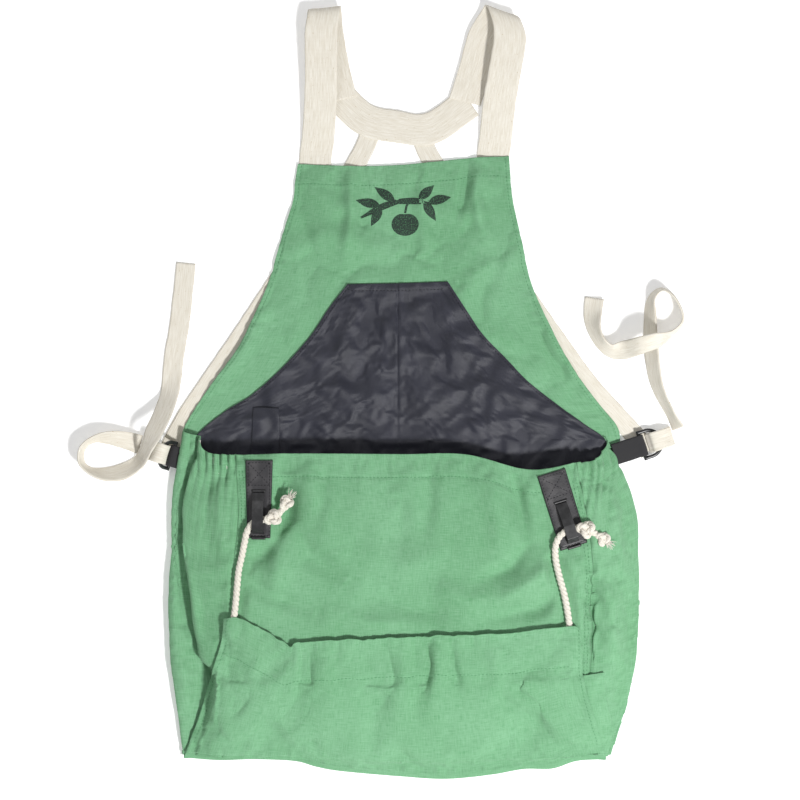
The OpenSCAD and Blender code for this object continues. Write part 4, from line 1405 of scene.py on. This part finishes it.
points, widths = laid(CROSS_STRAP, WEBBING_W, WEBBING_T)
points[:, 2] += WEBBING_T
cross_strap = ribbon("back_cross_webbing", points, widths, WEBBING_W, WEBBING_T, "cotton_webbing",
                     cols=25, seed=5)
hang(cross_strap, "back_cross_strap")

for side in SIDES:
    tape(side + "_back_tape", side + "_back_strap", BACK_STRAPS[side], 7)

    outward = [at_ring(side, out, 0, height) for out, height in LOOPS[side]]
    across = np.array(at_ring(side, 0, 1, 0)) - np.array(at_ring(side, 0, 0, 0))
    loop = ribbon(side + "_loop_tape", outward, [across] * len(outward), TAPE_W, WEBBING_T, "cotton_tape",
                  rows=60, seed=11)
    hang(loop, side + "_strap_loop", None)
    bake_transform(loop)

    tape(side + "_tie_tape", side + "_waist_tie", TIES[side], 13)

    tab_points = [at_ring(side, out, 0, height) for out, height in TAB]
    tab = ribbon(side + "_tab_webbing", tab_points, [across] * len(TAB), TAB_W, TAB_T, "black_webbing",
                 rows=70, cols=15, seed=17)
    hang(tab, side + "_waist_tab")


# ------------------------------------------------------------------ sewing
STITCH_SINK = 0.1       # how deep a stitch's ends sit in the cloth


def stitches(name, tree, lines, material, length=2.8, gap=1.5, radius=0.36, body=BODY):
    """Rows of stitches laid on a surface along (x, y) lines, each one a small bent thread."""
    verts, faces = [], []
    sides, steps = 6, 4
    above = 400             # where the rays down to the surface start
    for line in lines:
        path = spline(line, max(int(length_of(line) / 0.8), 4))
        run = run_along(path)
        at = 0.0
        while at + length <= run[-1]:
            t = at + length * np.linspace(0, 1, steps)
            place = np.stack([np.interp(t, run, path[:, k]) for k in (0, 1)], axis=1)
            at += length + gap
            points = []
            for x, y in place:
                hit = tree.ray_cast(Vector((x * MM, y * MM, above * MM)), Vector((0, 0, -1)))
                if hit[0] is not None:
                    points.append((np.array(hit[0]) / MM, np.array(hit[1])))
            if len(points) < steps or abs(points[0][0][2] - points[-1][0][2]) > 2.5:
                continue
            way = unit(points[-1][0] - points[0][0])
            first = len(verts)
            for k, (p, normal) in enumerate(points):
                side = np.cross(way, normal)
                at_end = k in (0, steps - 1)
                bow = radius * (0.55 if at_end else 1.0)
                lift = -STITCH_SINK if at_end else radius * 0.5
                for j in range(sides):
                    a = 2 * math.pi * j / sides
                    verts.append(p + normal * (lift + bow * math.sin(a)) + side * bow * math.cos(a))
            for k in range(steps - 1):
                for j in range(sides):
                    a, b = first + k * sides + j, first + k * sides + (j + 1) % sides
                    faces.append((a, b, b + sides, a + sides))
            faces.append(tuple(first + j for j in reversed(range(sides))))
            faces.append(tuple(first + (steps - 1) * sides + j for j in range(sides)))
    piece = new_object(name, verts, faces, material)
    if body:
        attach(piece, body)
    return piece


def row_of(grid, below):
    """The (x, y) line on a grid that lies below its top row by that many millimetres."""
    gap = np.linalg.norm(grid - grid[-1:], axis=2)
    rows = np.argmin(np.abs(gap - below), axis=0)
    return [tuple(grid[rows[k], k, :2]) for k in range(0, grid.shape[1], 8)]


def column_of(grid, inside, left=True):
    """The (x, y) line inside one side edge of a grid by that many millimetres."""
    edge = grid[:, :1] if left else grid[:, -1:]
    gap = np.linalg.norm(grid - edge, axis=2)
    columns = np.argmin(np.abs(gap - inside), axis=1)
    return [tuple(grid[k, columns[k], :2]) for k in range(0, grid.shape[0], 8)]


bib_lines = [row_of(bib[:, 12:-12], 23), column_of(bib, 5), column_of(bib, 5, False)]
stitches("bib_stitches", bib_tree, bib_lines, "green_thread")
lining_top = lining[240:]
stitches("lining_stitches", lining_tree, [row_of(lining[:, 14:-14], 9), column_of(lining_top, 4),
                                          column_of(lining_top, 4, False)], "dark_thread", 2.6, 1.6, 0.35)
mouth_rows = pouch[:, seam_at[0] + 6:seam_at[1] - 6]
seam_lines = [row_of(mouth_rows, CASING)]
for column, inward in zip(seam_at, (1, -1)):
    for shift in (3, 6):
        seam_lines.append([tuple(pouch[k, column + inward * shift, :2]) for k in range(60, 234, 6)])
stitches("pouch_stitches", shell_tree, seam_lines, "green_thread")
flap_top = flap[40:]
flap_rows = [row_of(flap[:, 10:-10], FLAP_HEM), column_of(flap_top, 6), column_of(flap_top, 6, False)]
flap_stitches = stitches("flap_stitches", flap_tree, flap_rows, "green_thread", body=None)
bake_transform(flap_stitches)
for side in SIDES:
    half = 12.6 if side == "left" else 14.2
    border = [(-half, -42), (half, -42), (half, 42), (-half, 42), (-half, -42)]
    box = [(-half, 16), (half, 16), (half, 42), (-half, 42)]
    cross = [[box[0], box[1]], [box[0], box[2]], [box[1], box[3]]]
    local = [border[:2], border[1:3], border[2:4], border[3:]] + cross
    lines = []
    for a, b in local:
        ends = on_patch(side, [a[0], b[0]], [a[1], b[1]], [0, 0])
        lines.append([tuple(ends[0][:2]), tuple(ends[1][:2])])
    stitches(side + "_patch_stitches", bvh_of(patches[side]), lines, "dark_thread", 2.4, 1.3, 0.35)


# A plain sprig with one fruit, printed on the bib
def leaf_outline(root, tip, width, steps=14):
    """A pointed leaf from root to tip."""
    root, tip = np.array(root, float), np.array(tip, float)
    way = tip - root
    side = np.array((-way[1], way[0])) / np.linalg.norm(way)
    t = np.linspace(0, 1, steps)
    swell = width / 2 * np.sin(math.pi * t ** 0.8)
    there = root + t[:, None] * way + swell[:, None] * side
    back = root + t[::-1, None] * way - swell[::-1, None] * side
    return np.vstack([there, back[1:-1]])


def fruit_outline(centre, radius, steps=40):
    """A round fruit, a little hollow at its top and its foot."""
    a = np.linspace(0, 2 * math.pi, steps, endpoint=False)
    r = radius * (1 + 0.06 * np.cos(2 * a) - 0.10 * np.exp(-((a - math.pi / 2) / 0.35) ** 2))
    return np.array(centre) + np.stack([r * np.cos(a), 0.94 * r * np.sin(a)], axis=1)


def stem_outline(points, width):
    """A stem of even width along points."""
    path = spline(points, 16)
    way = directions(path)
    side = np.stack([-way[:, 1], way[:, 0]], axis=1)
    return np.vstack([path + side * width / 2, (path - side * width / 2)[::-1]])


def print_shape(outline, tree):
    """Fills an outline with small cells that lie just on a surface."""
    middle = outline.mean(axis=0)
    rings = 7
    verts, faces = [], []
    n = len(outline)
    for ring in range(rings + 1):
        for x, y in middle + (outline - middle) * ring / rings:
            verts.append((x, y, height_over(tree, np.array([x]), np.array([y]), 4)[0] + 0.12))
    for ring in range(rings):
        for k in range(n):
            a, b = ring * n + k, ring * n + (k + 1) % n
            faces.append((a, a + n, b + n, b))
    return new_object("ink", verts, faces, "ink", [vert[:2] for vert in verts])


SPRIG = [
    fruit_outline((6, 438), 15),
    stem_outline([(6, 451), (8, 460), (14, 468)], 2.6),
    stem_outline([(-46, 446), (-20, 462), (14, 468), (44, 462)], 2.2),
    leaf_outline((-6, 465), (-30, 482), 11), leaf_outline((-24, 461), (-52, 466), 11),
    leaf_outline((-22, 459), (-34, 436), 11), leaf_outline((22, 467), (40, 484), 11),
    leaf_outline((34, 465), (60, 470), 11), leaf_outline((28, 465), (42, 442), 11),
]
sprig = join("printed_sprig", [print_shape(outline, bib_tree) for outline in SPRIG])
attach(sprig, BODY)

# ------------------------------------------------------------------ camera, light, end
make_studio()
make_camera()
